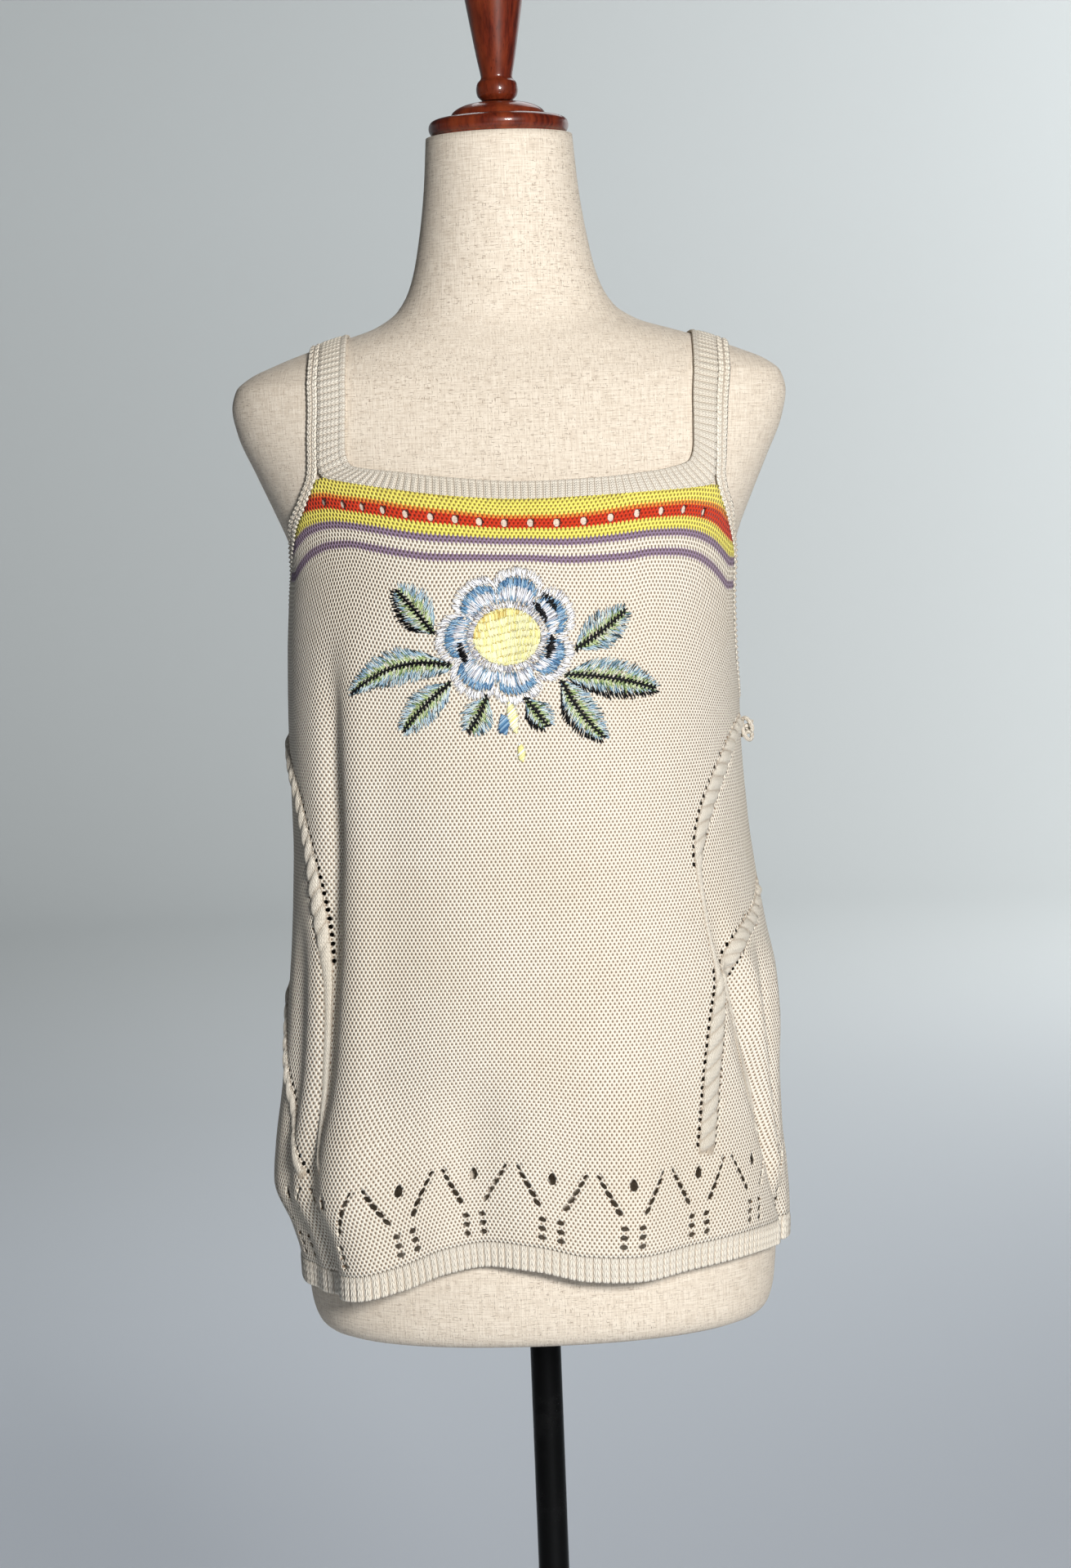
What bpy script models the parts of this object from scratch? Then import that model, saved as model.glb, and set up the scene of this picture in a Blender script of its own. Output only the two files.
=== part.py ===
"""Knit tank top on a linen covered dress form with a turned wooden finial and a round metal stand.

Sizes are in millimetres and become metres when a mesh is made. The front faces -Y, +Z is up and
the stand rests on z = 0. Cloth walls are nets in a flat chart, (s, t): s runs round a panel from
its left seam to its right seam and t is the height on the body; a shape function lays each net on
the garment's section at that height, and its outer points are moved out by the wall's thickness.
"""
import math

import bpy
import numpy as np
from mathutils.geometry import delaunay_2d_cdt

GAP = 0.35  # between solids at a seam
CLOTH = 2.0  # wall of the panels
EASE = 1.2  # between the form and cloth that lies on it
BED = 0.5  # between the panels' inner face and a band's
NECK_CLEAR, ARM_CLEAR = 1.6 * GAP, 2.2 * GAP  # what a panel stops short of each band
HALF = 245.0  # flat half-width of a panel at its hem
SLACK = 0.62 * GAP / HALF  # what a panel stops short of its side seam, as a share
RIB_TALL = 15.0  # hem rib
RIB_PITCH = 7.5
REPEATS = 10  # lace repeats in a panel
POLE_R = 10.0
FORM_BOTTOM = 722.0

# The dress form's sections: height, half-width, depth to the front, depth to the back, power.
FORM = np.array([
    (722.0, 122, 78, 86, 2.2), (725, 138, 91, 99, 2.2), (733, 146, 98, 106, 2.2),
    (748, 150, 102, 110, 2.15), (785, 152.5, 106, 115, 2.15), (840, 152, 105.5, 116, 2.15),
    (890, 147, 101, 111, 2.15), (935, 139, 96, 104, 2.2), (980, 130, 91, 96, 2.25),
    (1030, 124, 88, 90, 2.3), (1080, 126, 92, 88, 2.3),
    (1120, 130, 102, 90, 2.35), (1160, 133.5, 112, 93, 2.35), (1190, 135, 113, 95, 2.3),
    (1210, 138, 109, 96, 2.3), (1228, 143, 103.5, 96, 2.25), (1250, 152, 95.5, 94.5, 2.2),
    (1275, 163, 85, 91, 2.1), (1300, 173.5, 75.5, 85, 2.0), (1316, 176.5, 69, 79, 1.95),
    (1328, 173.5, 63.5, 73, 1.95), (1336, 164, 59.5, 69, 1.9), (1343, 148, 56, 65.5, 1.9),
    (1350, 129, 53, 62, 1.9), (1357, 106, 50, 58.5, 1.9), (1364, 84, 48, 55.5, 1.95),
    (1374, 69, 46.5, 53, 2.0), (1390, 60, 45.5, 51, 2.0), (1415, 54, 45, 49.5, 2.0),
    (1450, 49, 44.5, 48, 2.0), (1482, 46.5, 44.5, 47, 2.0)])
# The cloth's inner face where it hangs: height, left, right, front, back, power.
HANG = np.array([
    (750.0, 153, 157, 120, 122.5, 2.25), (772, 153.5, 158.5, 120, 122.5, 2.25),
    (795, 159, 159.5, 119.5, 122, 2.25), (822, 169, 158.5, 118.5, 121, 2.25),
    (845, 167, 156.5, 117.5, 120.5, 2.25), (880, 161.5, 156, 117, 118.5, 2.25),
    (915, 157, 157.5, 117, 115.5, 2.25), (945, 154, 156, 116.5, 112.5, 2.25),
    (975, 151, 150.5, 116.5, 109, 2.25), (1010, 148.5, 145, 116.5, 105.5, 2.3),
    (1045, 147, 141, 117, 102, 2.3), (1105, 147, 138, 118, 98.5, 2.35),
    (1160, 145.5, 138.5, 118, 97, 2.35), (1190, 143.5, 139.5, 115.6, 97.4, 2.3),
    (1210, 141.6, 141.5, 111, 98, 2.3)])
# How the chart turns round the body: share of a panel, degrees at the hem, degrees at the bust.
TURN_FRONT = np.array([
    (-1.0, -94, -98), (-0.7, -70.5, -65), (-0.5, -47, -46), (-0.3, -29.5, -28.5),
    (-0.1, -15, -10), (0.1, 2, 8), (0.3, 19.5, 26), (0.5, 35.7, 43.5), (0.7, 53.5, 61),
    (0.9, 67.5, 80), (1.0, 76, 90)])
TURN_BACK = np.array([
    (-1.0, 76, 90), (-0.6, 112, 124), (-0.2, 150, 159), (0.2, 189, 194), (0.6, 228, 229),
    (1.0, 266, 262)])
# The hem's lower edge: share of a panel, height.
HEM_FRONT = np.array([
    (-1.0, 764), (-0.8, 760), (-0.62, 758), (-0.45, 760.5), (-0.33, 768), (-0.2, 778),
    (-0.06, 782), (0.06, 779), (0.2, 771.5), (0.32, 770), (0.5, 773.5), (0.75, 776), (1.0, 776)])
HEM_BACK = np.array([
    (-1.0, 776), (-0.6, 768), (-0.2, 774), (0.2, 768), (0.6, 771), (1.0, 764)])
# Soft folds: (share, height) at the top, middle and foot, half-width as a share, depth outwards.
FOLDS_FRONT = [
    ((-0.525, 1170), (-0.555, 1000), (-0.555, 860), 0.055, -4.0),
    ((-0.72, 1010), (-0.69, 890), (-0.66, 770), 0.050, -5.0),
    ((-0.60, 900), (-0.57, 820), (-0.55, 740), 0.090, 4.5),
    ((-0.40, 900), (-0.41, 820), (-0.42, 740), 0.110, 7.0),
    ((-0.10, 900), (-0.09, 820), (-0.08, 740), 0.120, -5.0),
    ((0.30, 900), (0.30, 820), (0.30, 740), 0.110, 4.0),
    ((0.41, 1110), (0.56, 955), (0.76, 850), 0.042, -6.5),
    ((0.66, 985), (0.72, 930), (0.83, 850), 0.032, 3.5),
    ((0.74, 985), (0.80, 930), (0.89, 850), 0.028, -4.5),
    ((0.85, 985), (0.90, 930), (0.945, 850), 0.030, 2.5)]
FOLDS_BACK = [
    ((-0.62, 1060), (-0.64, 900), (-0.66, 740), 0.085, 6.0),
    ((-0.10, 1040), (-0.12, 890), (-0.14, 740), 0.110, 8.0),
    ((0.42, 1060), (0.44, 900), (0.46, 740), 0.090, 7.0),
    ((0.80, 1010), (0.82, 870), (0.84, 740), 0.060, 4.0)]
# Twisted cables, raised from the front: share and height down the middle of each.
CABLES = [
    [(0.91, 1107), (0.80, 1103), (0.74, 1094), (0.66, 1080), (0.61, 1066), (0.56, 1050),
     (0.53, 1034), (0.525, 1015), (0.54, 990), (0.55, 965), (0.555, 930), (0.535, 900),
     (0.53, 865), (0.50, 838)],
    [(0.935, 1010), (0.87, 993), (0.745, 985), (0.685, 975), (0.655, 957), (0.65, 938),
     (0.665, 918), (0.69, 890), (0.705, 860), (0.70, 838)],
    [(-0.93, 1108), (-0.83, 1092), (-0.78, 1076), (-0.72, 1060), (-0.68, 1046), (-0.65, 1028),
     (-0.62, 1002), (-0.595, 975), (-0.575, 945), (-0.575, 910), (-0.565, 880), (-0.54, 858),
     (-0.50, 838)],
    [(-0.935, 950), (-0.86, 925), (-0.80, 905), (-0.745, 888), (-0.715, 868), (-0.70, 838)]]
CABLE_WIDE, CABLE_HIGH, CABLE_STEP = 12.0, 2.3, 12.5
# One lace repeat: side step, height over the rib, width, height, corners. Pairs are mirrored.
LACE = [
    (0.0, 43.5, 5.4, 7.2, 6), (5.9, 6.5, 5.4, 3.6, 4), (5.8, 12.2, 5.4, 3.6, 4),
    (5.6, 17.8, 5.4, 3.6, 4), (5.5, 23.4, 5.4, 3.6, 4), (10.4, 29.6, 4.2, 4.6, 4),
    (14.0, 36.0, 4.2, 4.8, 4)]
# Eyelets of the stripe under the neckline: share, height, with one width and height for all.
EYELETS = [
    (-0.505, 1255.0), (-0.442, 1253.0), (-0.382, 1251.0), (-0.322, 1248.5), (-0.262, 1245.5),
    (-0.199, 1243.0), (-0.138, 1241.0), (-0.077, 1239.0), (-0.012, 1237.5), (0.057, 1237.0),
    (0.126, 1236.5), (0.197, 1237.0), (0.269, 1238.5), (0.342, 1240.5), (0.415, 1241.5),
    (0.490, 1242.0), (0.571, 1240.0)]
EYELET_WIDE, EYELET_TALL = 5.0, 4.2
# Ribbed neckband, free edge and seam edge side by side: where, x, height or degrees over.
NECKBAND = [
    ("front", 3, 1262, 3, 1251.5), ("front", 50, 1262.5, 50, 1252),
    ("front", 86, 1265.5, 92, 1253.8), ("front", 104, 1269, 115, 1255.5),
    ("front", 110.5, 1272, 123.5, 1258), ("front", 113.2, 1279, 126.0, 1269),
    ("over", 114.2, 10, 127.6, 8), ("over", 115.5, 35, 129.5, 35), ("over", 117, 65, 131.2, 65),
    ("over", 117, 90, 131.2, 90), ("over", 113, 112, 127.2, 114), ("over", 106, 135, 120.5, 137),
    ("over", 101, 158, 116, 160), ("over", 99, 178, 114, 180), ("back", 96.5, 1275, 112, 1266),
    ("back", 90, 1269.5, 104, 1259.5), ("back", 74, 1266.5, 80, 1256),
    ("back", 40, 1265, 42, 1254.5), ("back", 0, 1264.5, 0, 1254), ("back", -40, 1265, -42, 1254.5),
    ("back", -74, 1266.5, -80, 1256), ("back", -90, 1269.5, -104, 1259.5),
    ("back", -96.5, 1275, -112, 1266), ("over", -99, 178, -115, 180),
    ("over", -99, 158, -115, 160), ("over", -99, 135, -115.4, 137),
    ("over", -99.7, 112, -116.3, 114), ("over", -100.5, 90, -117, 90),
    ("over", -101, 65, -117.4, 65), ("over", -101.8, 35, -118.4, 35),
    ("over", -102.5, 10, -119.4, 8), ("front", -102.4, 1284, -119.4, 1277),
    ("front", -99.5, 1277, -116.5, 1270.5), ("front", -90, 1274, -103, 1266.5),
    ("front", -74, 1271.5, -78, 1261.5), ("front", -42, 1266.5, -42, 1255.5)]
# Armbands, seam edge and free edge side by side.
ARMBAND_LEFT = [
    ("over", -117.5, 90, -123.8, 90), ("over", -117.9, 65, -124.4, 65),
    ("over", -118.9, 35, -125.2, 35), ("over", -119.9, 8, -126, 8),
    ("front", -120, 1277, -126.2, 1277.5), ("front", -121, 1269, -127.2, 1270),
    ("front", -124, 1261, -129.8, 1263.5), ("front", -129, 1250, -134.4, 1253.5),
    ("side", -61.5, 1240, -66, 1243), ("side", -69.5, 1226, -74, 1228.5),
    ("side", -77.5, 1211, -81.3, 1212.5), ("side", -86, 1197, -89.8, 1198),
    ("side", -91, 1184, -94.8, 1185), ("side", -95, 1165, -98.8, 1166),
    ("side", -97.5, 1146, -101, 1148), ("side", -101.5, 1131, -103.8, 1136),
    ("side", -108.5, 1124, -108.5, 1130), ("side", -116, 1130, -113.5, 1135),
    ("side", -121, 1147, -117.3, 1149.5), ("side", -123.5, 1170, -119.7, 1171),
    ("side", -125, 1195, -121.2, 1196), ("side", -126, 1218, -122.2, 1220),
    ("back", -121.5, 1241, -127, 1244.5), ("back", -115.8, 1253, -121.8, 1255.5),
    ("back", -114.4, 1267, -120.8, 1268), ("over", -115.5, 180, -122, 180),
    ("over", -115.5, 160, -122, 160), ("over", -115.9, 137, -122.3, 137),
    ("over", -116.8, 114, -123.2, 114)]
ARMBAND_RIGHT = [
    ("over", 131.7, 90, 139.2, 90), ("over", 131.7, 65, 139, 65), ("over", 130, 35, 137, 35),
    ("over", 128.1, 8, 134.8, 8), ("front", 127, 1271, 133.2, 1271.5),
    ("front", 126.4, 1262, 132.4, 1263), ("front", 128, 1251, 134, 1252.5),
    ("front", 131.3, 1240, 137, 1242.5), ("side", 65, 1228, 69, 1229.5),
    ("side", 69.8, 1213, 73.6, 1214), ("side", 71.2, 1196, 75, 1196.5),
    ("side", 71.8, 1176, 75.6, 1176.5), ("side", 73, 1156, 76.8, 1157.5),
    ("side", 75.6, 1140, 79, 1143), ("side", 80, 1127, 82.3, 1132),
    ("side", 87.5, 1120.5, 87.5, 1126.5), ("side", 96, 1122, 94, 1128),
    ("side", 103.5, 1131, 100.3, 1135), ("side", 109.5, 1147, 105.8, 1149.5),
    ("side", 113.5, 1169, 109.7, 1170), ("side", 117, 1193, 113.2, 1194.5),
    ("side", 121.5, 1217, 117.8, 1219.5),
    ("back", 121.5, 1241, 127.5, 1244.5), ("back", 115.5, 1253, 122, 1255.5),
    ("back", 114.2, 1267, 120.8, 1268), ("over", 114.5, 180, 121.3, 180),
    ("over", 116.5, 160, 123.4, 160), ("over", 121, 137, 128.2, 137),
    ("over", 127.7, 114, 135, 114)]
# Where the neckband's seam leaves each panel: x and height at the left corner, then at the right.
CORNERS = {-1: (-115.5, 1269.5, 122.5, 1256.5), 1: (-103.0, 1258.5, 103.0, 1258.5)}
# Heights of the points that both panels share down a side seam.
SEAM_HEIGHTS = np.linspace(804.0, 1108.0, 16)
# The knot at the wearer's left underarm, seen at the picture's right: middle, half sizes.
KNOT_MIDDLE, KNOT_SIZE = (144.15, -9.0, 1101.0), (4.4, 6.5, 8.8)
# Slots: base colour, roughness, metallic.
MATERIALS = {
    "knit": ((0.74, 0.66, 0.54, 1), 0.9, 0.0),
    "linen": ((0.72, 0.63, 0.52, 1), 0.85, 0.0),
    "mahogany": ((0.16, 0.022, 0.010, 1), 0.18, 0.0),
    "black_metal": ((0.006, 0.006, 0.007, 1), 0.2, 0.6)}


def smooth(table, column, at):
    """A monotone cubic curve through one column of a table, held at its ends."""
    x, y = table[:, 0], table[:, column]
    step = np.diff(x)
    rise = np.diff(y) / step
    tangent = np.concatenate([rise[:1], 0 * rise[1:], rise[-1:]])
    same = rise[:-1] * rise[1:] > 0
    near, far = 2 * step[1:] + step[:-1], step[1:] + 2 * step[:-1]
    low, high = np.where(same, rise[:-1], 1), np.where(same, rise[1:], 1)
    tangent[1:-1] = np.where(same, (near + far) / (near / low + far / high), 0)
    at = np.clip(at, x[0], x[-1])
    i = np.clip(np.searchsorted(x, at, side="right") - 1, 0, len(x) - 2)
    f = (at - x[i]) / step[i]
    return ((1 + 2 * f) * (1 - f) ** 2 * y[i] + f * (1 - f) ** 2 * step[i] * tangent[i]
            + f * f * (3 - 2 * f) * y[i + 1] + f * f * (f - 1) * step[i] * tangent[i + 1])


def unit(v):
    return v / np.linalg.norm(v, axis=-1, keepdims=True)


def on_section(turn, z, left, right, front, back, power):
    """Points of a section: turn is 0 at the front and grows towards +X."""
    s, c = np.sin(np.radians(turn)), np.cos(np.radians(turn))
    size = (np.abs(s) ** power + np.abs(c) ** power) ** (-1 / power)
    x = np.where(s < 0, left, right) * s * size
    return np.stack([x, -np.where(c > 0, front, back) * c * size, z + 0 * x], -1)


def form_at(turn, z):
    wide = smooth(FORM, 1, z)
    return on_section(turn, z, wide, wide, smooth(FORM, 2, z), smooth(FORM, 3, z),
                      smooth(FORM, 4, z))


def garment_rows():
    """The cloth's inner face: as it hangs, and above that the form let out by the ease."""
    upper = FORM[FORM[:, 0] > 1215]
    laid = np.stack([upper[:, 0], upper[:, 1] + EASE, upper[:, 1] + EASE, upper[:, 2] + EASE,
                     upper[:, 3] + EASE, upper[:, 4]], 1)
    return np.vstack([HANG, laid])


GARMENT = garment_rows()


def panel_at(side, share, height):
    """Points of a panel's inner face. side is -1 for the front and 1 for the back."""
    turns, hem, folds = ((TURN_FRONT, HEM_FRONT, FOLDS_FRONT) if side < 0
                         else (TURN_BACK, HEM_BACK, FOLDS_BACK))
    low = np.clip((1000 - height) / 220, 0, 1)
    low = low * low * (3 - 2 * low)
    z = height + (smooth(hem, 1, share) - 772) * low
    bust = np.clip((z - 780) / 320, 0, 1)
    turn = (1 - bust) * smooth(turns, 1, share) + bust * smooth(turns, 2, share)
    push = 0 * z
    for top, middle, foot, wide, depth in folds:
        fade = np.clip(3 * (top[1] - z) / (top[1] - foot[1]), 0, 1)
        path = np.interp(z, (foot[1], middle[1], top[1]), (foot[0], middle[0], top[0]))
        away = (share - path) / wide
        push = push + depth * fade * fade * (3 - 2 * fade) * np.exp(-away * away)
    seam = np.clip((1 - np.abs(share)) / 0.12, 0, 1)
    push = push * seam * seam * (3 - 2 * seam)
    columns = [smooth(GARMENT, k, z) for k in range(1, 6)]
    columns = [c + push for c in columns[:4]] + columns[4:]
    return on_section(turn, z, *columns)


def laid_normal(side, share, height):
    """Outward directions of a panel, by small steps in its chart."""
    across = panel_at(side, share + 2e-3, height) - panel_at(side, share - 2e-3, height)
    up = panel_at(side, share, height + 0.5) - panel_at(side, share, height - 0.5)
    return unit(np.cross(across, up))


def to_chart(points, side):
    """Turn and share on the front (side -1) or back panel of points that lie high on the body."""
    z = points[:, 2]
    size = [smooth(GARMENT, k, z) for k in range(1, 5)]
    turn = np.degrees(np.arctan2(
        points[:, 0] / np.where(points[:, 0] < 0, size[0], size[1]),
        -points[:, 1] / np.where(points[:, 1] < 0, size[2], size[3])))
    shares = np.linspace(-1, 1, 401)
    if side < 0:
        return turn, np.interp(turn, smooth(TURN_FRONT, 2, shares), shares)
    return turn % 360 - 180, np.interp(turn % 360, smooth(TURN_BACK, 2, shares), shares)


def cloth_value(p):
    """Below 1 inside the cloth's inner face, above 1 outside it."""
    x, y, z = p.T
    left, right, front, back, power = (smooth(GARMENT, k, z) for k in range(1, 6))
    return ((np.abs(x) / np.where(x < 0, left, right)) ** power
            + (np.abs(y) / np.where(y < 0, front, back)) ** power) ** (1 / power)


def cloth_normal(p):
    steps = np.eye(3) * 0.4
    return unit(np.stack([cloth_value(p + d) - cloth_value(p - d) for d in steps], 1))


def on_body(where, x, q):
    """A point of the cloth's inner face: at x and height q in front or behind, at a turn and a
    height at the side, or at x and q degrees over the shoulder."""
    x = float(x)
    if where == "side":
        row = np.array([q], float)
        return on_section(np.array([x]), row, *(smooth(GARMENT, k, row) for k in range(1, 6)))[0]
    if where == "over":
        pivot, way = np.array([x, 0, 1285.0]), np.array(
            [0, -math.cos(math.radians(q)), math.sin(math.radians(q))])
    else:
        pivot, way = np.array([x, 0, q]), np.array([0, -1.0 if where == "front" else 1.0, 0])
    near, far = 0.0, 160.0
    for _ in range(40):
        mid = (near + far) / 2
        if cloth_value((pivot + mid * way)[None])[0] < 1:
            near = mid
        else:
            far = mid
    return pivot + near * way


def closed_curve(points, count):
    """Evenly spaced points on a smooth closed curve through the given ones."""
    p = np.asarray(points)
    n = len(p)
    knots = np.concatenate([[0], np.cumsum(np.linalg.norm(np.roll(p, -1, 0) - p, axis=1))])
    slope = (np.roll(p, -1, 0) - np.roll(p, 1, 0)) / (
        np.roll(np.diff(knots), 1) + np.diff(knots))[:, None]

    def at(where):
        i = np.clip(np.searchsorted(knots, where, side="right") - 1, 0, n - 1)
        h = (knots[i + 1] - knots[i])[:, None]
        f = (where - knots[i])[:, None] / h
        j = (i + 1) % n
        return ((1 + 2 * f) * (1 - f) ** 2 * p[i] + f * (1 - f) ** 2 * h * slope[i]
                + f * f * (3 - 2 * f) * p[j] + f * f * (f - 1) * h * slope[j])

    fine = at(np.linspace(0, knots[-1], 4001))
    run = np.concatenate([[0], np.cumsum(np.linalg.norm(np.diff(fine, axis=0), axis=1))])
    return at(np.interp(np.arange(count) * run[-1] / count, run, np.linspace(0, knots[-1], 4001)))


def settle(points):
    """Move points to the cloth's inner face, straight out or in."""
    for _ in range(6):
        here = cloth_normal(points)
        slope = (cloth_value(points + here * 0.4) - cloth_value(points - here * 0.4)) / 0.8
        points = points + here * np.clip((1 - cloth_value(points)) / slope, -3, 3)[:, None]
    return points


def band_edges(rows, count):
    """The two edges of a band on the cloth's inner face, as evenly spaced pairs."""
    ends = []
    for where, xa, qa, xb, qb in rows:
        ends.append(np.concatenate([on_body(where, xa, qa), on_body(where, xb, qb)]))
    both = closed_curve(np.array(ends), count)
    return settle(both[:, :3]), settle(both[:, 3:])


def lift(feet, height):
    return feet + cloth_normal(feet) * height


def add_part(name, points, faces, slot, flat=()):
    """A mesh in metres, in the part's collection, smooth apart from the faces listed as flat."""
    mesh = bpy.data.meshes.new(name)
    mesh.from_pydata((np.asarray(points) * 0.001).tolist(), [], faces)
    mesh.materials.append(bpy.data.materials[slot])
    mesh.polygons.foreach_set("use_smooth", [i not in flat for i in range(len(faces))])
    mesh.validate()
    part = bpy.data.objects.new(name, mesh)
    bpy.data.collections["tank_top"].objects.link(part)
    return part


def panel_edge(side, neck, left, right):
    """A panel's upper edge in its chart, from low at its left seam to low at its right one."""
    x_left, z_left, x_right, z_right = CORNERS[side]
    turns = (TURN_FRONT if side < 0 else TURN_BACK)[[0, -1], 2] - (0 if side < 0 else 180)
    runs = []
    for (seam, free), every in ((left, 1), (neck, 6), (right, 1)):
        edge = seam + (NECK_CLEAR if every > 1 else ARM_CLEAR) * unit(seam - free)
        turn, share = to_chart(edge, side)
        keep = (turn > turns[0] + 0.3) & (turn < turns[1] - 0.3)
        if every == 1:
            keep &= edge[:, 2] < (z_left if edge[0, 0] < 0 else z_right)
            end = int(share[keep].mean() > 0)
            low = np.flatnonzero(edge[:, 2] < 1200)
            low = low[np.argsort(turn[low])]
            level = np.interp(turns[end], turn[low], edge[low, 2])
        else:
            keep &= (edge[:, 0] > x_left) & (edge[:, 0] < x_right) & (edge[:, 2] < 1280)
        order = np.argsort(share[keep])
        pick = np.append(order[:-1:every], order[-1])
        run = np.stack([share[keep][pick], edge[keep, 2][pick]], 1)
        if every == 1:
            corner = [[2.0 * end - 1, level]]
            run = np.vstack([run, corner] if end else [corner, run])
        runs.append(run)
    return np.vstack(sorted(runs, key=lambda run: run[:, 0].mean()))


def net(edge, holes, lines, loose):
    """Triangles between a closed edge and the holes in it, through lines and loose points."""
    flat = [edge] + holes + lines + [loose]
    starts = np.cumsum([0] + [len(f) for f in flat])
    ties = []
    for k, f in enumerate(flat[:-1]):
        n, base = len(f), int(starts[k])
        ties += [(base + i, base + i + 1) for i in range(n - 1)]
        if k <= len(holes):
            ties.append((base + n - 1, base))
    spots, _, faces, *_ = delaunay_2d_cdt(np.vstack(flat).tolist(), ties, [], 1, 1e-4)
    spots = np.array([tuple(p) for p in spots])
    faces = np.array(faces)
    middle = spots[faces].mean(1)
    open_ = np.zeros(len(faces), bool)
    for hole in holes:
        step = np.roll(hole, -1, 0) - hole
        off = middle[:, None] - hole[None]
        turn = step[:, 0] * off[..., 1] - step[:, 1] * off[..., 0]
        open_ |= (turn > 0).all(1)
    faces = faces[~open_]
    a, b, c = (spots[faces[:, k]] for k in range(3))
    back = (b - a)[:, 0] * (c - a)[:, 1] < (b - a)[:, 1] * (c - a)[:, 0]
    faces[back] = faces[back][:, ::-1]
    return spots, faces


def clear_of(points, others, reach):
    """The points that keep their distance from all the others."""
    away = np.linalg.norm(points[:, None] - others[None], axis=2).min(1)
    return points[away > reach]


def add_wall(name, spots, faces, side, bulge, slot):
    """A closed wall on a panel's chart: plain inner face, outer face raised by the bulge."""
    share = spots[:, 0] / HALF
    inner = panel_at(side, share, spots[:, 1])
    outer = inner + laid_normal(side, share, spots[:, 1]) * (CLOTH + bulge)[:, None]
    n = len(spots)
    edges = {(a, b) for t in faces for a, b in zip(t, np.roll(t, -1))}
    rims = [(b, a, n + a, n + b) for a, b in edges if (b, a) not in edges]
    skins = [tuple(t) for t in faces] + [tuple(n + t[::-1]) for t in faces]
    total = [tuple(int(i) for i in f) for f in skins + rims]
    return add_part(name, np.vstack([outer, inner]), total, slot,
                    set(range(len(skins), len(total))))


def lace_holes():
    holes = []
    for k in range(REPEATS):
        middle = (k + 0.5) * 2 * HALF / REPEATS - HALF
        for side_step, up, wide, tall, corners in LACE:
            for way in ((1,) if side_step == 0 else (-1, 1)):
                turn = (np.arange(corners) + 0.5 * (corners == 4)) * 2 * math.pi / corners
                size = 0.5 * (math.sqrt(2) if corners == 4 else 1.0)
                holes.append(np.stack([
                    middle + way * side_step + wide * size * np.cos(turn),
                    772 + RIB_TALL + up + tall * size * np.sin(turn)], 1))
    return holes


def cable_lines():
    """Three lines down each cable, with how far the wall's outer face is raised at each point."""
    lines, rises = [], []
    for path in CABLES:
        p = np.array(path) * (HALF, 1)
        run = np.concatenate([[0], np.cumsum(np.linalg.norm(np.diff(p, axis=0), axis=1))])
        count = int(run[-1] / CABLE_STEP) + 1
        at = np.linspace(0, run[-1], count)
        mid = np.stack([np.interp(at, run, p[:, 0]), np.interp(at, run, p[:, 1])], 1)
        ahead = unit(np.gradient(mid, axis=0))
        across = np.stack([-ahead[:, 1], ahead[:, 0]], 1)
        sway = np.where(np.arange(count) % 2 == 0, 1, -1) * CABLE_WIDE * 0.14
        for place, high in ((-0.5, 0.0), (0.0, 1.0), (0.5, 0.0)):
            shift = place * CABLE_WIDE + (sway if high else 0)
            lines.append(mid + across * np.reshape(shift + 0 * at, (-1, 1)))
            fade = np.minimum(1, np.minimum(at, run[-1] - at) / 15 + 0.15)
            rises.append(high * CABLE_HIGH * fade)
    return lines, rises


def add_panel(name, side, top, columns, rows, holes, lines, rises, slot):
    """A body panel between its hem rib, its seams and its upper edge."""
    top = top * (HALF, 1)
    ends = HALF * (1 - SLACK)
    top[0, 0], top[-1, 0] = -ends, ends
    low = 772 + RIB_TALL + GAP
    foot = np.linspace(-ends, ends, 4 * REPEATS + 1)
    right = np.stack([0 * SEAM_HEIGHTS + ends, SEAM_HEIGHTS], 1)
    edge = np.vstack([np.stack([foot, 0 * foot + low], 1), right, top[::-1],
                      right[::-1] * (-1, 1)])
    grid = np.array([(s * HALF, h) for h, shares in zip(rows, columns) for s in shares])
    marks = np.vstack([edge] + holes + lines)
    grid = clear_of(grid, marks, 6.5)
    ceiling = np.interp(grid[:, 0], top[:, 0], top[:, 1])
    grid = grid[grid[:, 1] < ceiling - 5]
    spots, faces = net(edge, holes, lines, grid)
    bulge = np.zeros(len(spots))
    for line, rise in zip(lines, rises):
        away = np.linalg.norm(spots[:, None] - line[None], axis=2)
        hit = away.min(1) < 1e-3
        bulge[hit] = rise[away.argmin(1)[hit]]
    return add_wall(name, spots, faces, side, bulge, slot)


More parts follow.
